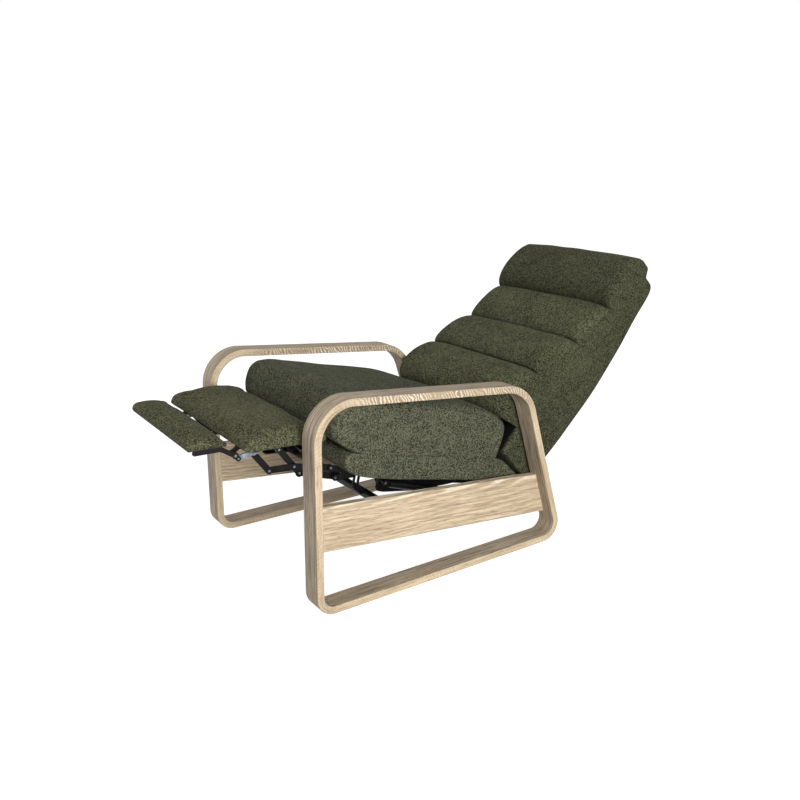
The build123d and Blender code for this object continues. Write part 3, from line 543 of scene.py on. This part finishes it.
def side_view(foot, angle, x, along, rise):
    """Points in metres from distances in millimetres: x is across the chair, and the other two turn
    by the angle about the foot, so that y is along times cosine less rise times sine, and z is along
    times sine plus rise times cosine."""
    c, s = cos(radians(angle)), sin(radians(angle))
    y, z = foot[0] + along * c - rise * s - ORIGIN_Y, foot[1] + along * s + rise * c
    return np.stack(np.broadcast_arrays(x, y, z), -1) / 1000


def lengths_of(points):
    """How far along a line of points each one lies: the running sum of the steps between them."""
    return np.concatenate([[0], np.cumsum(np.linalg.norm(np.diff(points, axis=0), axis=1))])


def spread(points, count, *extra):
    """A line of points laid out again at equal steps of its length, with any values beside it."""
    points = np.asarray(points, float)
    length = lengths_of(points)
    steps = np.linspace(0, length[-1], count)
    columns = [np.interp(steps, length, column) for column in list(points.T) + list(extra)]
    return np.stack(columns[: points.shape[1]], 1), columns[points.shape[1] :]


def points_of(mesh, kind="vertices", value="co"):
    """The places of a mesh's points, or with other names their normals, as rows of three numbers."""
    row = np.zeros(len(mesh.vertices) * 3)
    getattr(mesh, kind).foreach_get(value, row)
    return row.reshape(-1, 3)


print("surface helpers ready")

# %% [markdown]
# ## The bent side loops
# Each side of the chair is one strip of oak, 66 by 22 mm, bent round four corners and glued into a
# loop: it is arm, legs and floor runner in one. A curve with a bevel would give the same shape, but
# the oak also needs to know how far along and how deep in the strip each point lies. So the path
# down the middle is worked out as four straight runs joined by arcs, a rounded rectangle is carried
# along it, and both distances go into maps. The maps of the two strips are shifted apart, so that
# they don't match grain for grain.

# %% Side loops
LOOP_CORNERS = [(0, 0), (-3, 610), (739, 542), (922, 0)]
LOOP_RADII = [58, 112, 132, 58]
STRIP_THICKNESS, LOOP_WIDTH, EDGE_ROUND = 22.3, 66.4, 3.0
LOOP_INNER = 290.0
ARC_STEPS, RUN_STEPS, EDGE_STEPS = 22, 26, 5
MAP_SHIFT = 3.1


def loop_path():
    """The middle line of the strip, with its tangents. Each corner is cut by an arc that touches
    both of its runs: it starts a radius times the tangent of half the turn before the corner."""
    corners = np.array(LOOP_CORNERS, float)
    points, tangents = [], []
    for n in range(len(corners)):
        before, corner, after, beyond = (corners[(n + step) % len(corners)] for step in (-1, 0, 1, 2))
        into = (corner - before) / np.linalg.norm(corner - before)
        out = (after - corner) / np.linalg.norm(after - corner)
        turned = np.arccos(np.clip(into @ out, -1, 1))
        radius = LOOP_RADII[n]
        inward = np.array([into[1], -into[0]])
        centre = corner - into * radius * np.tan(turned / 2) + inward * radius
        angles = np.linspace(0, turned, ARC_STEPS)[:, None]
        spoke = inward * np.cos(angles) - into * np.sin(angles)
        points.append(centre - spoke * (radius - STRIP_THICKNESS / 2))
        tangents.append(into * np.cos(angles) + inward * np.sin(angles))
        following = (beyond - after) / np.linalg.norm(beyond - after)
        next_turn = np.arccos(np.clip(out @ following, -1, 1))
        reach = np.linalg.norm(after - corner) - radius * np.tan(turned / 2)
        reach -= LOOP_RADII[(n + 1) % len(corners)] * np.tan(next_turn / 2)
        steps = np.linspace(0, reach, RUN_STEPS)[1:-1, None]
        points.append(points[-1][-1] + out * steps)
        tangents.append(np.repeat(out[None], len(steps), 0))
    return np.concatenate(points), np.concatenate(tangents)


def loop_profile():
    """A rounded rectangle as pairs of across and depth: each corner is a quarter circle, with one
    close point on each side of it that keeps the faces flat."""
    across, depth = LOOP_WIDTH / 2, STRIP_THICKNESS / 2
    angles = np.linspace(0, pi / 2, EDGE_STEPS)
    arc = np.stack([np.cos(angles), np.sin(angles)], 1) * EDGE_ROUND
    near = EDGE_ROUND * 1.25
    points = []
    for quarter, (side, face) in enumerate([(1, 1), (-1, 1), (-1, -1), (1, -1)]):
        corner = arc + (across - EDGE_ROUND, depth - EDGE_ROUND)
        corner = np.concatenate([[(across, depth - near)], corner, [(across - near, depth)]])
        corner = corner * (side, face)
        points.append(corner if quarter % 2 == 0 else corner[::-1])
    return np.concatenate(points)


path, tangents = loop_path()
profile = loop_profile()
outward = np.stack([-tangents[:, 1], tangents[:, 0]], 1)
run = lengths_of(np.concatenate([path, path[:1]]))
around = np.concatenate([profile, profile[:1]])
along_map = np.stack(np.broadcast_arrays(run[:, None], around[None, :, 0]), -1) / 1000
depth_map = np.stack(np.broadcast_arrays(around[None, :, 1], run[:, None]), -1) / 1000
flat = path[:, None] + outward[:, None] * profile[None, :, 1:2]
for side, hand in ((1, "left"), (-1, "right")):
    x = side * (LOOP_INNER + LOOP_WIDTH / 2) + side * profile[None, :, 0]
    grid = side_view((0, 0), 0, x, flat[..., 0], flat[..., 1])
    maps = {"strip": along_map + np.array([MAP_SHIFT * side, 0.0]), "depth": depth_map}
    loop = skin("bent_loop_" + hand, grid, "frame", oak_strip, along=True, maps=maps)
    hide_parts("side_loop_" + hand)
    low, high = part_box("side_loop_" + hand)
    made = points_of(loop.data)
    off = np.abs([made.min(0) - low, made.max(0) - high]).max()
    print("loop", hand, "off the measured box by", off.round(5), "m")

# %% [markdown]
# ## Lines and mesh helpers
# All the soft pieces below start from a few measured points of the side view. A curve object could
# join them, but a formula keeps the lines and the surface in one place: `smooth_line` runs through
# the points, and the other helpers move, divide or keep a finished mesh.

# %% Lines and mesh helpers
def smooth_line(points, count):
    """A curve through points: each span is a cubic whose slopes at its ends follow the neighbours."""
    points = np.asarray(points, float)
    knots = lengths_of(points)
    gaps = np.linalg.norm(np.diff(points, axis=0), axis=1)
    slopes = np.gradient(points, knots, axis=0)
    s = np.linspace(0, knots[-1], count * 4)
    n = np.clip(np.searchsorted(knots, s, side="right") - 1, 0, len(gaps) - 1)
    gap, t = gaps[n][:, None], ((s - knots[n]) / gaps[n])[:, None]
    curve = (2 * t**3 - 3 * t**2 + 1) * points[n] + (t**3 - 2 * t**2 + t) * gap * slopes[n]
    curve += (3 * t**2 - 2 * t**3) * points[n + 1] + (t**3 - t**2) * gap * slopes[n + 1]
    return spread(curve, count)[0]


def ease(t):
    """0 below 0, 1 above 1, and between them three squares less two cubes, level at both ends."""
    t = np.clip(t, 0, 1)
    return t * t * (3 - 2 * t)


def ripple(points, seed, size, longest, count=9):
    """Gentle unevenness: a sum of sine waves in random directions, each as high as it is long."""
    draw = np.random.default_rng(seed)
    waves = draw.normal(size=(count, 3))
    spacing = longest * draw.uniform(0.35, 1.0, (count, 1))
    waves *= 2 * pi / spacing / np.linalg.norm(waves, axis=1)[:, None]
    heights = 1 / np.linalg.norm(waves, axis=1)
    height = np.sin(points @ waves.T + draw.uniform(0, 2 * pi, count)) @ (heights / heights.sum())
    return height * size


def swell_out(piece, amount):
    """Moves each point of a piece along its normal by an amount in metres."""
    mesh = piece.data
    co, normal = points_of(mesh), points_of(mesh, "vertex_normals", "vector")
    mesh.vertices.foreach_set("co", (co + normal * amount(co)[:, None]).ravel())
    mesh.update()


def keep_modifiers(piece):
    """What the modifiers of a piece make of it becomes its mesh, and they are removed."""
    bpy.context.view_layer.update()
    graph = bpy.context.evaluated_depsgraph_get()
    mesh = bpy.data.meshes.new_from_object(piece.evaluated_get(graph))
    piece.modifiers.clear()
    piece.data = mesh
    return mesh


def subdivide(piece):
    """One level of subdivision rounds off the small faces of a piece."""
    modifier = piece.modifiers.new("smooth", "SUBSURF")
    modifier.levels = modifier.render_levels = 1


print("line and mesh helpers ready")

# %% [markdown]
# ## A stuffed skin
# Cushions and pads here are all made the same way. The side view gives an upper line, a lower line
# and a spine between them, cut into as many stations. At each station the section across the chair
# is a rectangle with rounded corners: it runs flat over the top, turns the corner, comes down the
# side to the spine and on to the lower line. The top is crowned, and the side swells a little. Where
# the two lines meet at an end, the section closes to a line and the ends of the skin merge. A box
# sculpted by hand would do as well, but this one keeps to its measured lines.

# %% Stuffed skin
FLAT_STEPS, CORNER_STEPS, SIDE_STEPS = 17, 6, 9
MOST_ROUND = 0.85  # the most of a thin end's height that a rounded corner may take
TINY = 1e-6


def stuffed(
    top, bottom, spine, width, top_round, bottom_round, crown=0.0, swell=0.0, plain=None, fade=40.0
):
    """The grid of a stuffed skin in millimetres, as x, along and rise for every station and column.
    From a line to the spine the depth grows: over the flat it is 0, round the corner it follows a
    quarter circle, and down the side it grows evenly. The crown is a parabola across the width that
    fades with the depth, and the swell a squared sine of it. plain is the upper line without its
    creases, which the side panel follows beyond the fade."""
    quarters = []
    plain = top if plain is None else plain
    width = np.asarray(width, float)[:, None]
    turned = np.linspace(0, pi / 2, CORNER_STEPS)[1:]
    run = np.linspace(0, 1, SIDE_STEPS)[1:]
    halves = ((top, plain, top_round, crown), (bottom, bottom, bottom_round, 0))
    for line, smooth, corner, arch in halves:
        room = np.linalg.norm(smooth - spine, axis=1)[:, None]
        near = np.minimum(corner, room * MOST_ROUND)
        across = np.linspace(0, 1, FLAT_STEPS) * (width - near)
        x = np.concatenate([across, width - near + near * np.sin(turned), width + run * 0], 1)
        depth = [across * 0, near * (1 - np.cos(turned)), near + (room - near) * run]
        depth = np.concatenate(depth, 1)
        share = depth / np.maximum(room, TINY)
        x = x + swell * np.sin(pi * share / 2) ** 2 * (depth > 0)
        crease = 1 - ease((depth - near * 0.4) / fade)
        edge = smooth[:, None] + (line - smooth)[:, None] * crease[..., None]
        place = edge + (spine[:, None] - edge) * share[..., None]
        out = edge - spine[:, None]
        out = out / np.maximum(np.linalg.norm(out, axis=-1), TINY)[..., None]
        place = place + out * (arch * (1 - (x / width) ** 2) * (1 - share))[..., None]
        quarters.append(np.concatenate([x[..., None], place], -1))
    upper, lower = quarters
    right_half = np.concatenate([upper, lower[:, ::-1][:, 1:]], 1)
    left_half = right_half[:, ::-1][:, 1:-1] * (-1, 1, 1)
    return np.concatenate([right_half, left_half], 1)


def plan_round(line, radius, ends=(True, True)):
    """How far the width draws in at each station, so that the corners seen from above are quarter
    circles: the radius less the root of its square less the square of the distance past its start."""
    along = line[:, 0]
    drawn = np.zeros(len(along))
    for wanted, distance in zip(ends, (along - along.min(), along.max() - along)):
        if wanted:
            near = np.clip(radius - distance, 0, radius)
            drawn = np.maximum(drawn, radius - np.sqrt(radius**2 - near**2))
    return drawn


def over_the_top(grid):
    """1 on the columns over the top of a stuffed skin, falling to 0 round its upper corners."""
    column = np.arange(grid.shape[1])
    near = np.minimum(column, grid.shape[1] - column)
    return np.ones((len(grid), 1)) * (1 - ease((near - FLAT_STEPS + 1) / CORNER_STEPS))


print("stuffed skin ready")

# %% [markdown]
# ## The lines of the back
# One cover is stretched over the whole back. Its front is pulled into three deep creases between
# four rolls, and the top roll overhangs the rear panel as a headrest. Four separate bolsters would be
# easier, but on the real chair the cloth runs on from roll to roll, so one line is drawn over all of
# them. The lowest roll follows measured points. Each of the others is half of a squared ellipse that
# starts and ends at a crease. A number called level counts the creases along the line, and says how
# far the rear panel and the spine have come at each place of the front.

# %% The lines of the back
SEAT_FRONT, SEAT_ANGLE = (134.0, 375.0), -13.2


def on_seat(along, rise):
    """A place in the side view from distances along and square to the seat, turned by its slope."""
    c, s = cos(radians(SEAT_ANGLE)), sin(radians(SEAT_ANGLE))
    return SEAT_FRONT[0] + along * c - rise * s, SEAT_FRONT[1] + along * s + rise * c


# The back's foot is 9.2 mm short of the rear of the seat's base and 29.2 mm above its top.
BACK_FOOT, BACK_ANGLE = on_seat(575.0 - 9.2, 46.0 + 29.2), 43.0
CREASES = [(270, 54), (445, -4), (616, -25)]
TIP = (825, -32)
LUMBAR = [
    (0, -8), (50, 0), (96, 10), (94, 22), (82, 42), (74, 62), (78, 86), (94, 108), (124, 121),
    (168, 120), (224, 102), (258, 78), CREASES[0],
]
ROLLS = [  # rise over the chord, lean along the back, roundness of the ends and of the top
    (38, -4, 0.86, 0.80),
    (31, -3, 0.86, 0.80),
    (57, -2, 0.86, 0.80),
]
REAR = [(0, -187), (180, -192), (353, -190), (558, -167), (700, -142), (778, -129)]
SHELL_CORNER = [(778, -129), (791, -122), (797, -108), (795, -84)]
NAPE = [(795, -84), (793, -74), (803, -64), (820, -50), TIP]
ROLL_STEPS, BACK_STATIONS = 40, 210
CREST_DROP, FILLED = 5, 0.7  # the line without creases: below the crests, and its share of the way
CORNER_POINT, NOTCH_POINT = 64, 72  # points of the rear line: in the shell's corner, at the nape


def roll_line(start, end, rise, lean, ends, crown):
    """Half of a squared ellipse over the chord from start to end: the cosine and the sine of an
    angle, each raised to a power below 1, which makes it fuller than a circle."""
    angle = np.linspace(pi, 0, ROLL_STEPS)
    c, s = np.cos(angle), np.sin(angle)
    height = np.abs(s) ** crown
    across = np.sign(c) * np.abs(c) ** ends
    chord = np.array(start) + (np.array(end) - start) * ((across + 1) / 2)[:, None]
    return chord + np.stack([lean * height, rise * height], 1)


lines = [smooth_line(LUMBAR, 60)]
for start, end, roll in zip(CREASES, CREASES[1:] + [TIP], ROLLS):
    lines.append(roll_line(start, end, *roll))
crests = np.array([line[line[:, 1].argmax()] for line in lines])
front, plain, level = [], [], []
for number, line in enumerate(lines):
    t = np.linspace(0, 1, len(line))
    filled = np.interp(line[:, 0], crests[:, 0], crests[:, 1] - CREST_DROP)
    share = np.where(line[:, 0] < crests[0, 0], 0, FILLED)
    if number == len(lines) - 1:
        share = share * (1 - ease((t - 0.2) / 0.3))
    raised = line[:, 1] + share * np.maximum(filled - line[:, 1], 0)
    front.append(line)
    plain.append(np.stack([line[:, 0], raised], 1))
    level.append(number + t)
front, plain, level = np.concatenate(front), np.concatenate(plain), np.concatenate(level)

spans = [smooth_line(REAR, 60), smooth_line(SHELL_CORNER, 14)[1:], smooth_line(NAPE, 18)[1:]]
rear = np.concatenate(spans)
rear_length = lengths_of(rear)
corner_at, notch_at = rear_length[CORNER_POINT], rear_length[NOTCH_POINT]
# At each level: how far along its own line the rear has come, and the place of the spine.
LEVELS = [0, 0.25, 1, 2, 3, 3.22, 3.42, 3.7, 4]
REAR_AT = [0, 84, 290, 470, 655, corner_at, notch_at, notch_at + 26, rear_length[-1]]
SPINE_ALONG = [0, 84, 284, 460, 636, 724, 754, 790, TIP[0]]
SPINE_RISE = [-95, -88, -80, -96, -98, -70, -46, -26, TIP[1]]
rear_at = np.interp(level, LEVELS, REAR_AT)
back_line = np.stack([np.interp(rear_at, rear_length, rear[:, n]) for n in (0, 1)], 1)
spine = np.stack([np.interp(level, LEVELS, column) for column in (SPINE_ALONG, SPINE_RISE)], 1)
print("the front line of the back is", lengths_of(front)[-1].round(), "mm long")

# %% [markdown]
# ## The skin of the back
# The lines become a stuffed skin. Its side panel is flat and continuous: it follows the line without
# creases, and each crease fades out 46 mm down the side. The ends of the creases sag a little towards
# the floor, as cloth does at the end of a seam. Shade is painted into the colour of the cloth by an
# attribute: darker low on each roll, over the headrest and down the sides, and fully black on the
# front below the lumbar roll, for the deep shade in the gap above the seat. Cloth simulation would
# give the rolls too, but it needs an even mesh of 4 to 6 mm, in which such narrow creases are lost.

# %% The skin of the back
HALF_WIDTH = 279.0
PAINTED_SHADE_SPAN = 0.55  # the share of each roll, from its lower crease, over which the painted shade fades out
# How dark the painted shade is: low on each roll, over the headrest, and down the side panels.
ROLL_PAINTED_SHADE, HEADREST_PAINTED_SHADE, SIDE_PAINTED_SHADE = 0.34, 0.24, 0.27
SAG, SAG_WIDTH, SAG_DEPTH = 8.0, 60.0, 90.0
CLOSING = (0, 0.35, 0.7)  # the width of three first rows, as a share, which close the lower end

top, extra = spread(front, BACK_STATIONS, *plain.T, *spine.T, *back_line.T, level)
plain, spine, back_line = (np.stack(extra[n : n + 2], 1) for n in (0, 2, 4))
level = extra[-1]
width = HALF_WIDTH - plan_round(top, 20, (False, True))
body = stuffed(top, back_line, spine, width, 34, 12, crown=8, swell=1.5, plain=plain, fade=46)
outer = ease((np.abs(body[..., 0]) - (width[:, None] - SAG_WIDTH)) / SAG_WIDTH)
inward = np.linalg.norm(body[..., 1:] - top[:, None], axis=-1)
creased = ease((level - 0.6) / 0.3) * (1 - ease((level - 3.1) / 0.4))
body[..., 1] -= SAG * outer * (1 - ease(inward / SAG_DEPTH)) * creased[:, None]
closing = body[:1] * np.array([(share, 1, 1) for share in CLOSING])[:, None]
body = np.concatenate([closing, body])
grid = side_view(BACK_FOOT, BACK_ANGLE, body[..., 0], body[..., 1], body[..., 2])

# Painted shade: these rows, on the front below the lumbar roll, are painted black for the deep shade
# in the gap above the seat.
shade_black_rows = len(closing) + np.argmax(top[:60, 0] > LUMBAR[2][0] - 3) + 1
level = np.concatenate([np.zeros(len(closing)), level])
# Painted shade: darkest just above each crease, fading up the roll, darker over the headrest, and
# steady down the side panels.
painted_roll_shade = ROLL_PAINTED_SHADE * (1 - ease((level % 1) / PAINTED_SHADE_SPAN))
painted_roll_shade = painted_roll_shade + HEADREST_PAINTED_SHADE * ease((level - 3) / 0.1)
nap = SIDE_PAINTED_SHADE + (painted_roll_shade[:, None] - SIDE_PAINTED_SHADE) * over_the_top(grid)
nap[:shade_black_rows, : FLAT_STEPS + 2] = 1
nap[:shade_black_rows, -FLAT_STEPS - 1 :] = 1
back_cover = skin("back_cover", grid, "back", back_cloth, nap=nap)
print("back cover:", len(grid), "rows,", shade_black_rows, "of them painted black")

# %% [markdown]
# ## Creases, puckers and ripples
# A sewn seam pulls the cloth down into a narrow groove and gathers it into small puckers that stand
# square to the seam. A bump in the finish could draw them, but then the outline would stay smooth, so
# the points themselves are moved along their normals, by sums of waves that die away from the seam.

# %% Creases, puckers and ripples
GROOVE, GROOVE_REACH = 0.004, 0.0055  # metres
PUCKER, PUCKER_REACH, PUCKER_STEP = 0.0005, 0.028, 0.043
GROOVE_FULL, GROOVE_BLEND, GROOVE_LEFT = 0.235, 0.04, 0.2  # full to there, then a fifth is left

crease_lines = side_view(BACK_FOOT, BACK_ANGLE, 0.0, *np.array(CREASES).T)[:, 1:]


def back_unevenness(points):
    """Slow ripples, and near each crease a bell-shaped groove and a wave across the chair."""
    x, y = points[:, 0], points[:, 1]
    far = np.linalg.norm(points[:, None, 1:] - crease_lines[None], axis=-1).min(1)
    inner = 1 - ease((np.abs(x) - GROOVE_FULL) / GROOVE_BLEND)
    wave = np.sin(x * 2 * pi / PUCKER_STEP + 2.5 * np.sin(x * 17) + y * 9)
    puckers = wave * np.exp(-((far / PUCKER_REACH) ** 2)) * PUCKER
    kept = GROOVE_LEFT + (1 - GROOVE_LEFT) * inner
    groove = np.exp(-((far / GROOVE_REACH) ** 2)) * GROOVE * kept
    return ripple(points, 11, 0.0030, 0.22) + puckers - groove


swell_out(back_cover, back_unevenness)
subdivide(back_cover)
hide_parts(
    "back_shell", "lumbar_roll", "middle_roll", "shoulder_roll", "headrest_roll"
)
print("back cover:", len(back_cover.data.polygons), "faces")

# %% [markdown]
# ## The seat
# The seat cushion is a deep box with a full, rounded nose that hangs over the front of the base. The
# base below it is a frame wrapped in the same cloth, and its front sweeps up under the nose. A cube
# with a bevel would look hard, so both are stuffed skins from two lines each. Two narrow slots at the
# rear let the hinge plates through. They are cut out last, because they would tear the even grid.

# %% The seat
CUSHION_TOP = [
    (-59, 114), (-60, 140), (-54, 166), (-38, 186), (-8, 196), (60, 199), (200, 200), (330, 202),
    (420, 202), (490, 192), (545, 171), (568, 156), (574, 142), (572, 100),
]
CUSHION_BOTTOM = [
    (-59, 114), (-52, 90), (-22, 69), (14, 54), (44, 47.5), (120, 46.6), (300, 46.4), (550, 46.4),
    (562, 49), (567, 62), (572, 100),
]
BASE_TOP = [
    (-1, 22), (0, 38), (8, 45), (24, 46), (300, 46), (556, 46), (577, 43), (640, 9), (700, -22),
    (705, -25),
]
BASE_BOTTOM = [
    (-1, 22), (2, 5), (16, -7), (46, -17.5), (86, -23.5), (130, -26), (400, -26), (690, -26),
    (705, -25),
]
SLOT_SIDES, SLOT_ENDS, SLOT_RISE = (237.0, 250.5), (497.0, 760.0), (-60.0, 120.0)
BASE_HALF_WIDTH, SEAT_STATIONS = 278.0, 120
SEAT_TOP_PAINTED_SHADE = 0.16


def padded_piece(foot, angle, upper, lower, half_width, rounds, crown, swell, plan, stations):
    """A stuffed skin between an upper and a lower line of the side view, with its spine half way."""
    top, bottom = smooth_line(upper, stations), smooth_line(lower, stations)
    spine = (top + bottom) / 2
    width = half_width - plan_round(spine, plan)
    body = stuffed(top, bottom, spine, width, *rounds, crown=crown, swell=swell)
    return side_view(foot, angle, body[..., 0], body[..., 1], body[..., 2])


def cut_slots(piece):
    """Takes the two slots at the rear of the seat out of a piece, each as the hull of 8 corners."""
    for side in (1, -1):
        across = np.array(SLOT_SIDES) * side
        corners = np.array([(a, b, c) for a in across for b in SLOT_ENDS for c in SLOT_RISE])
        box = bmesh.new()
        made = [box.verts.new(place) for place in side_view(SEAT_FRONT, SEAT_ANGLE, *corners.T)]
        bmesh.ops.convex_hull(box, input=made)
        mesh = bpy.data.meshes.new("slot")
        box.to_mesh(mesh)
        box.free()
        tool = bpy.data.objects.new("slot", mesh)
        bpy.context.scene.collection.objects.link(tool)
        modifier = piece.modifiers.new("slot", "BOOLEAN")
        modifier.object, modifier.operation, modifier.solver = tool, "DIFFERENCE", "EXACT"
        keep_modifiers(piece)
        bpy.data.objects.remove(tool)


grid = padded_piece(
    SEAT_FRONT, SEAT_ANGLE, CUSHION_TOP, CUSHION_BOTTOM, HALF_WIDTH,
    rounds=(24, 5), crown=7, swell=3, plan=24, stations=SEAT_STATIONS,
)
# Painted shade: the top of the cushion is painted darker than its sides.
nap = SEAT_TOP_PAINTED_SHADE * over_the_top(grid)
cushion = skin("seat_cushion_cover", grid, "seat", seat_cloth, nap=nap)
swell_out(cushion, lambda points: ripple(points, 5, 0.004, 0.26))
grid = padded_piece(
    SEAT_FRONT, SEAT_ANGLE, BASE_TOP, BASE_BOTTOM, BASE_HALF_WIDTH,
    rounds=(4, 9), crown=0, swell=1.0, plan=8, stations=SEAT_STATIONS,
)
base = skin("seat_base_cover", grid, "seat", seat_cloth)
swell_out(base, lambda points: ripple(points, 6, 0.0012, 0.2))
for piece in (cushion, base):
    subdivide(piece)
    cut_slots(piece)
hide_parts("seat_cushion")
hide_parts("seat_base")
print("seat cushion:", len(cushion.data.polygons), "faces; base:", len(base.data.polygons))

# %% [markdown]
# ## The guard plates
# Beside each gas spring a thin black plate hangs from the underside of the base and keeps fingers out
# of the steel behind it. A flat plate with Solidify would do, but its edges would be sharp. It is so
# thin and plain that it needs no more than a strip: an upper line, a lower line, and a small round
# along both edges.

# %% Guard plates
GUARD_X, GUARD_THICKNESS, GUARD_STEPS = 207.5, 3.0, 7
GUARD_THIN_END = 0.2  # the first and the last station are this share as thick
GUARD_ALONG = [166, 168, 172, 180, 200, 300, 420, 460, 470, 474]
GUARD_LOW = [-60, -74, -80, -84, -86, -82, -64, -56, -50, -42]
GUARD_HIGH = [-30, -27, -26.6, -26.6, -26.6, -26.6, -26.6, -26.6, -27, -30]


def make_guard(side):
    """Stations along the seat, each a strip from the upper to the lower line with a half circle at
    both edges. At either end one more row folds the two sides onto each other and closes it."""
    low, high = np.array(GUARD_LOW, float)[:, None], np.array(GUARD_HIGH, float)[:, None]
    turned = np.linspace(0, pi, GUARD_STEPS)
    half = GUARD_THICKNESS / 2
    drop = half * (1 - np.sin(turned))
    x = np.concatenate([half * np.cos(turned), -half * np.cos(turned)])
    thick = np.ones(len(low))[:, None]
    thick[[0, -1]] = GUARD_THIN_END
    x, rise = side * (GUARD_X + half + x * thick), np.concatenate([low + drop, high - drop], 1)
    grid = side_view(SEAT_FRONT, SEAT_ANGLE, x, np.array(GUARD_ALONG)[:, None], rise)
    ends = [row[:GUARD_STEPS] for row in (grid[0], grid[-1])]
    ends = [np.concatenate([row, row[::-1]])[None] for row in ends]
    return np.concatenate([ends[0], grid, ends[1]])


for side, hand in ((1, "left"), (-1, "right")):
    guard = skin("guard_plate_" + hand, make_guard(side), "seat", black_steel)
    print(guard.name, len(guard.data.polygons), "faces")

# %% [markdown]
# ## Cloth under pressure
# The footrest is two padded boards. The wadding pushes each cover out, and the board holds it flat
# below. Modelling the swell by hand would do, but cloth finds by itself where the cover is taut and
# where it may rise. So a pad's skin is remeshed evenly, made a little smaller and blown up as cloth,
# with its underside held and with a limit on how far a point may move.

# %% Cloth under pressure
VOXEL, PRESSURE, LAST_FRAME = 0.0045, 4.0, 20
SHRINK, MOST = 0.0015, 0.005  # metres
FACES_DOWN = -0.3


def blow_up(piece):
    """Remeshes a piece, lets it swell as cloth with its underside held, and keeps the result. A
    point that the cloth moved too far goes the same way, but only as far as the limit."""
    remesh = piece.modifiers.new("voxels", "REMESH")
    remesh.mode, remesh.voxel_size, remesh.use_smooth_shade = "VOXEL", VOXEL, True
    mesh = keep_modifiers(piece)
    normals = points_of(mesh, "vertex_normals", "vector")
    start = points_of(mesh) - normals * SHRINK
    mesh.vertices.foreach_set("co", start.ravel())
    held = piece.vertex_groups.new(name="held")
    held.add(np.flatnonzero(normals[:, 2] < FACES_DOWN).tolist(), 1.0, "REPLACE")
    cloth = piece.modifiers.new("cloth", "CLOTH")
    cloth.settings.use_pressure, cloth.settings.uniform_pressure_force = True, PRESSURE
    cloth.settings.effector_weights.gravity = 0
    cloth.settings.vertex_group_mass = held.name
    cloth.point_cache.frame_end = LAST_FRAME
    for step in range(1, LAST_FRAME + 1):
        bpy.context.scene.frame_set(step)
    swollen = piece.evaluated_get(bpy.context.evaluated_depsgraph_get())
    moved = points_of(swollen.data) - start
    piece.modifiers.clear()
    piece.vertex_groups.clear()
    bpy.context.scene.frame_set(1)
    far = np.linalg.norm(moved, axis=1)[:, None]
    kept = moved * np.minimum(1, MOST / np.maximum(far, TINY))
    mesh.vertices.foreach_set("co", (start + kept).ravel())
    mesh.update()
    most, mean = (round(float(value) * 1000, 1) for value in (far.max(), far.mean()))
    print(piece.name, "swells by up to", most, "mm, mean", mean)


print("cloth helper ready")

# %% [markdown]
# ## The footrest
# The wide pad carries the calves, and a narrow one hinged to its front edge carries the heels. Each is
# thin at its rim and wraps round the edge of its board. Both could be flattened boxes, but they are
# stuffed skins like the seat, so that all the upholstery has the same corners. The wide pad is placed
# from the pin of its drive links, and the narrow one from the wide one, as on the real chair.

# %% The footrest
DRIVE_PIN = on_seat(11.1, -21.0)
REST_FOOT, REST_ANGLE = (DRIVE_PIN[0] - 288.0, DRIVE_PIN[1] + 125.0), -2.4
FLIPPER_FOOT, FLIPPER_ANGLE = (REST_FOOT[0] - 130.0, REST_FOOT[1] + 14.0), -1.5
REST_TOP = [
    (-1, 7), (3, 16), (14, 25), (50, 35), (110, 39), (180, 33), (226, 23), (242, 14), (247, 6),
]
REST_BOTTOM = [(-1, 7), (2, -2), (9, -6), (60, -6), (180, -6), (238, -6), (245, -2), (247, 6)]
FLIPPER_TOP = [
    (-2, 4), (0, 11), (8, 17), (28, 21), (52, 22), (80, 18), (98, 12), (106, 6), (108, 0),
]
FLIPPER_BOTTOM = [(-2, 4), (0, -2), (6, -6), (30, -6), (84, -6), (101, -6), (106, -4), (108, 0)]
REST_LINES = (REST_FOOT, REST_ANGLE, REST_TOP, REST_BOTTOM)
FLIPPER_LINES = (FLIPPER_FOOT, FLIPPER_ANGLE, FLIPPER_TOP, FLIPPER_BOTTOM)
PADS = [  # name, lines, half width, rounds, crown, body, and the node that it stands for
    ("footrest_pad", REST_LINES, 265, (17, 6), 5, "ottoman", "ottoman_pad"),
    ("flipper_cover", FLIPPER_LINES, 212, (11, 5), 3, "flipper", "flipper_pad"),
]

pads = []
for name, side_lines, half_width, rounds, crown, body_name, node in PADS:
    grid = padded_piece(*side_lines, half_width, rounds, crown, swell=1.5, plan=22, stations=64)
    pad = skin(name, grid, body_name, rest_cloth)
    swell_out(pad, lambda points: ripple(points, 8, 0.0022, 0.16))
    blow_up(pad)
    subdivide(pad)
    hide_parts(node)
    pads.append(pad)
    print(name, len(pad.data.polygons), "faces")

# %% [markdown]
# ## Closing
# The name of every cushion and pad is printed.

# %% Closing
for piece in (cushion, back_cover, *pads, base):
    print("declared as padded:", piece.name)
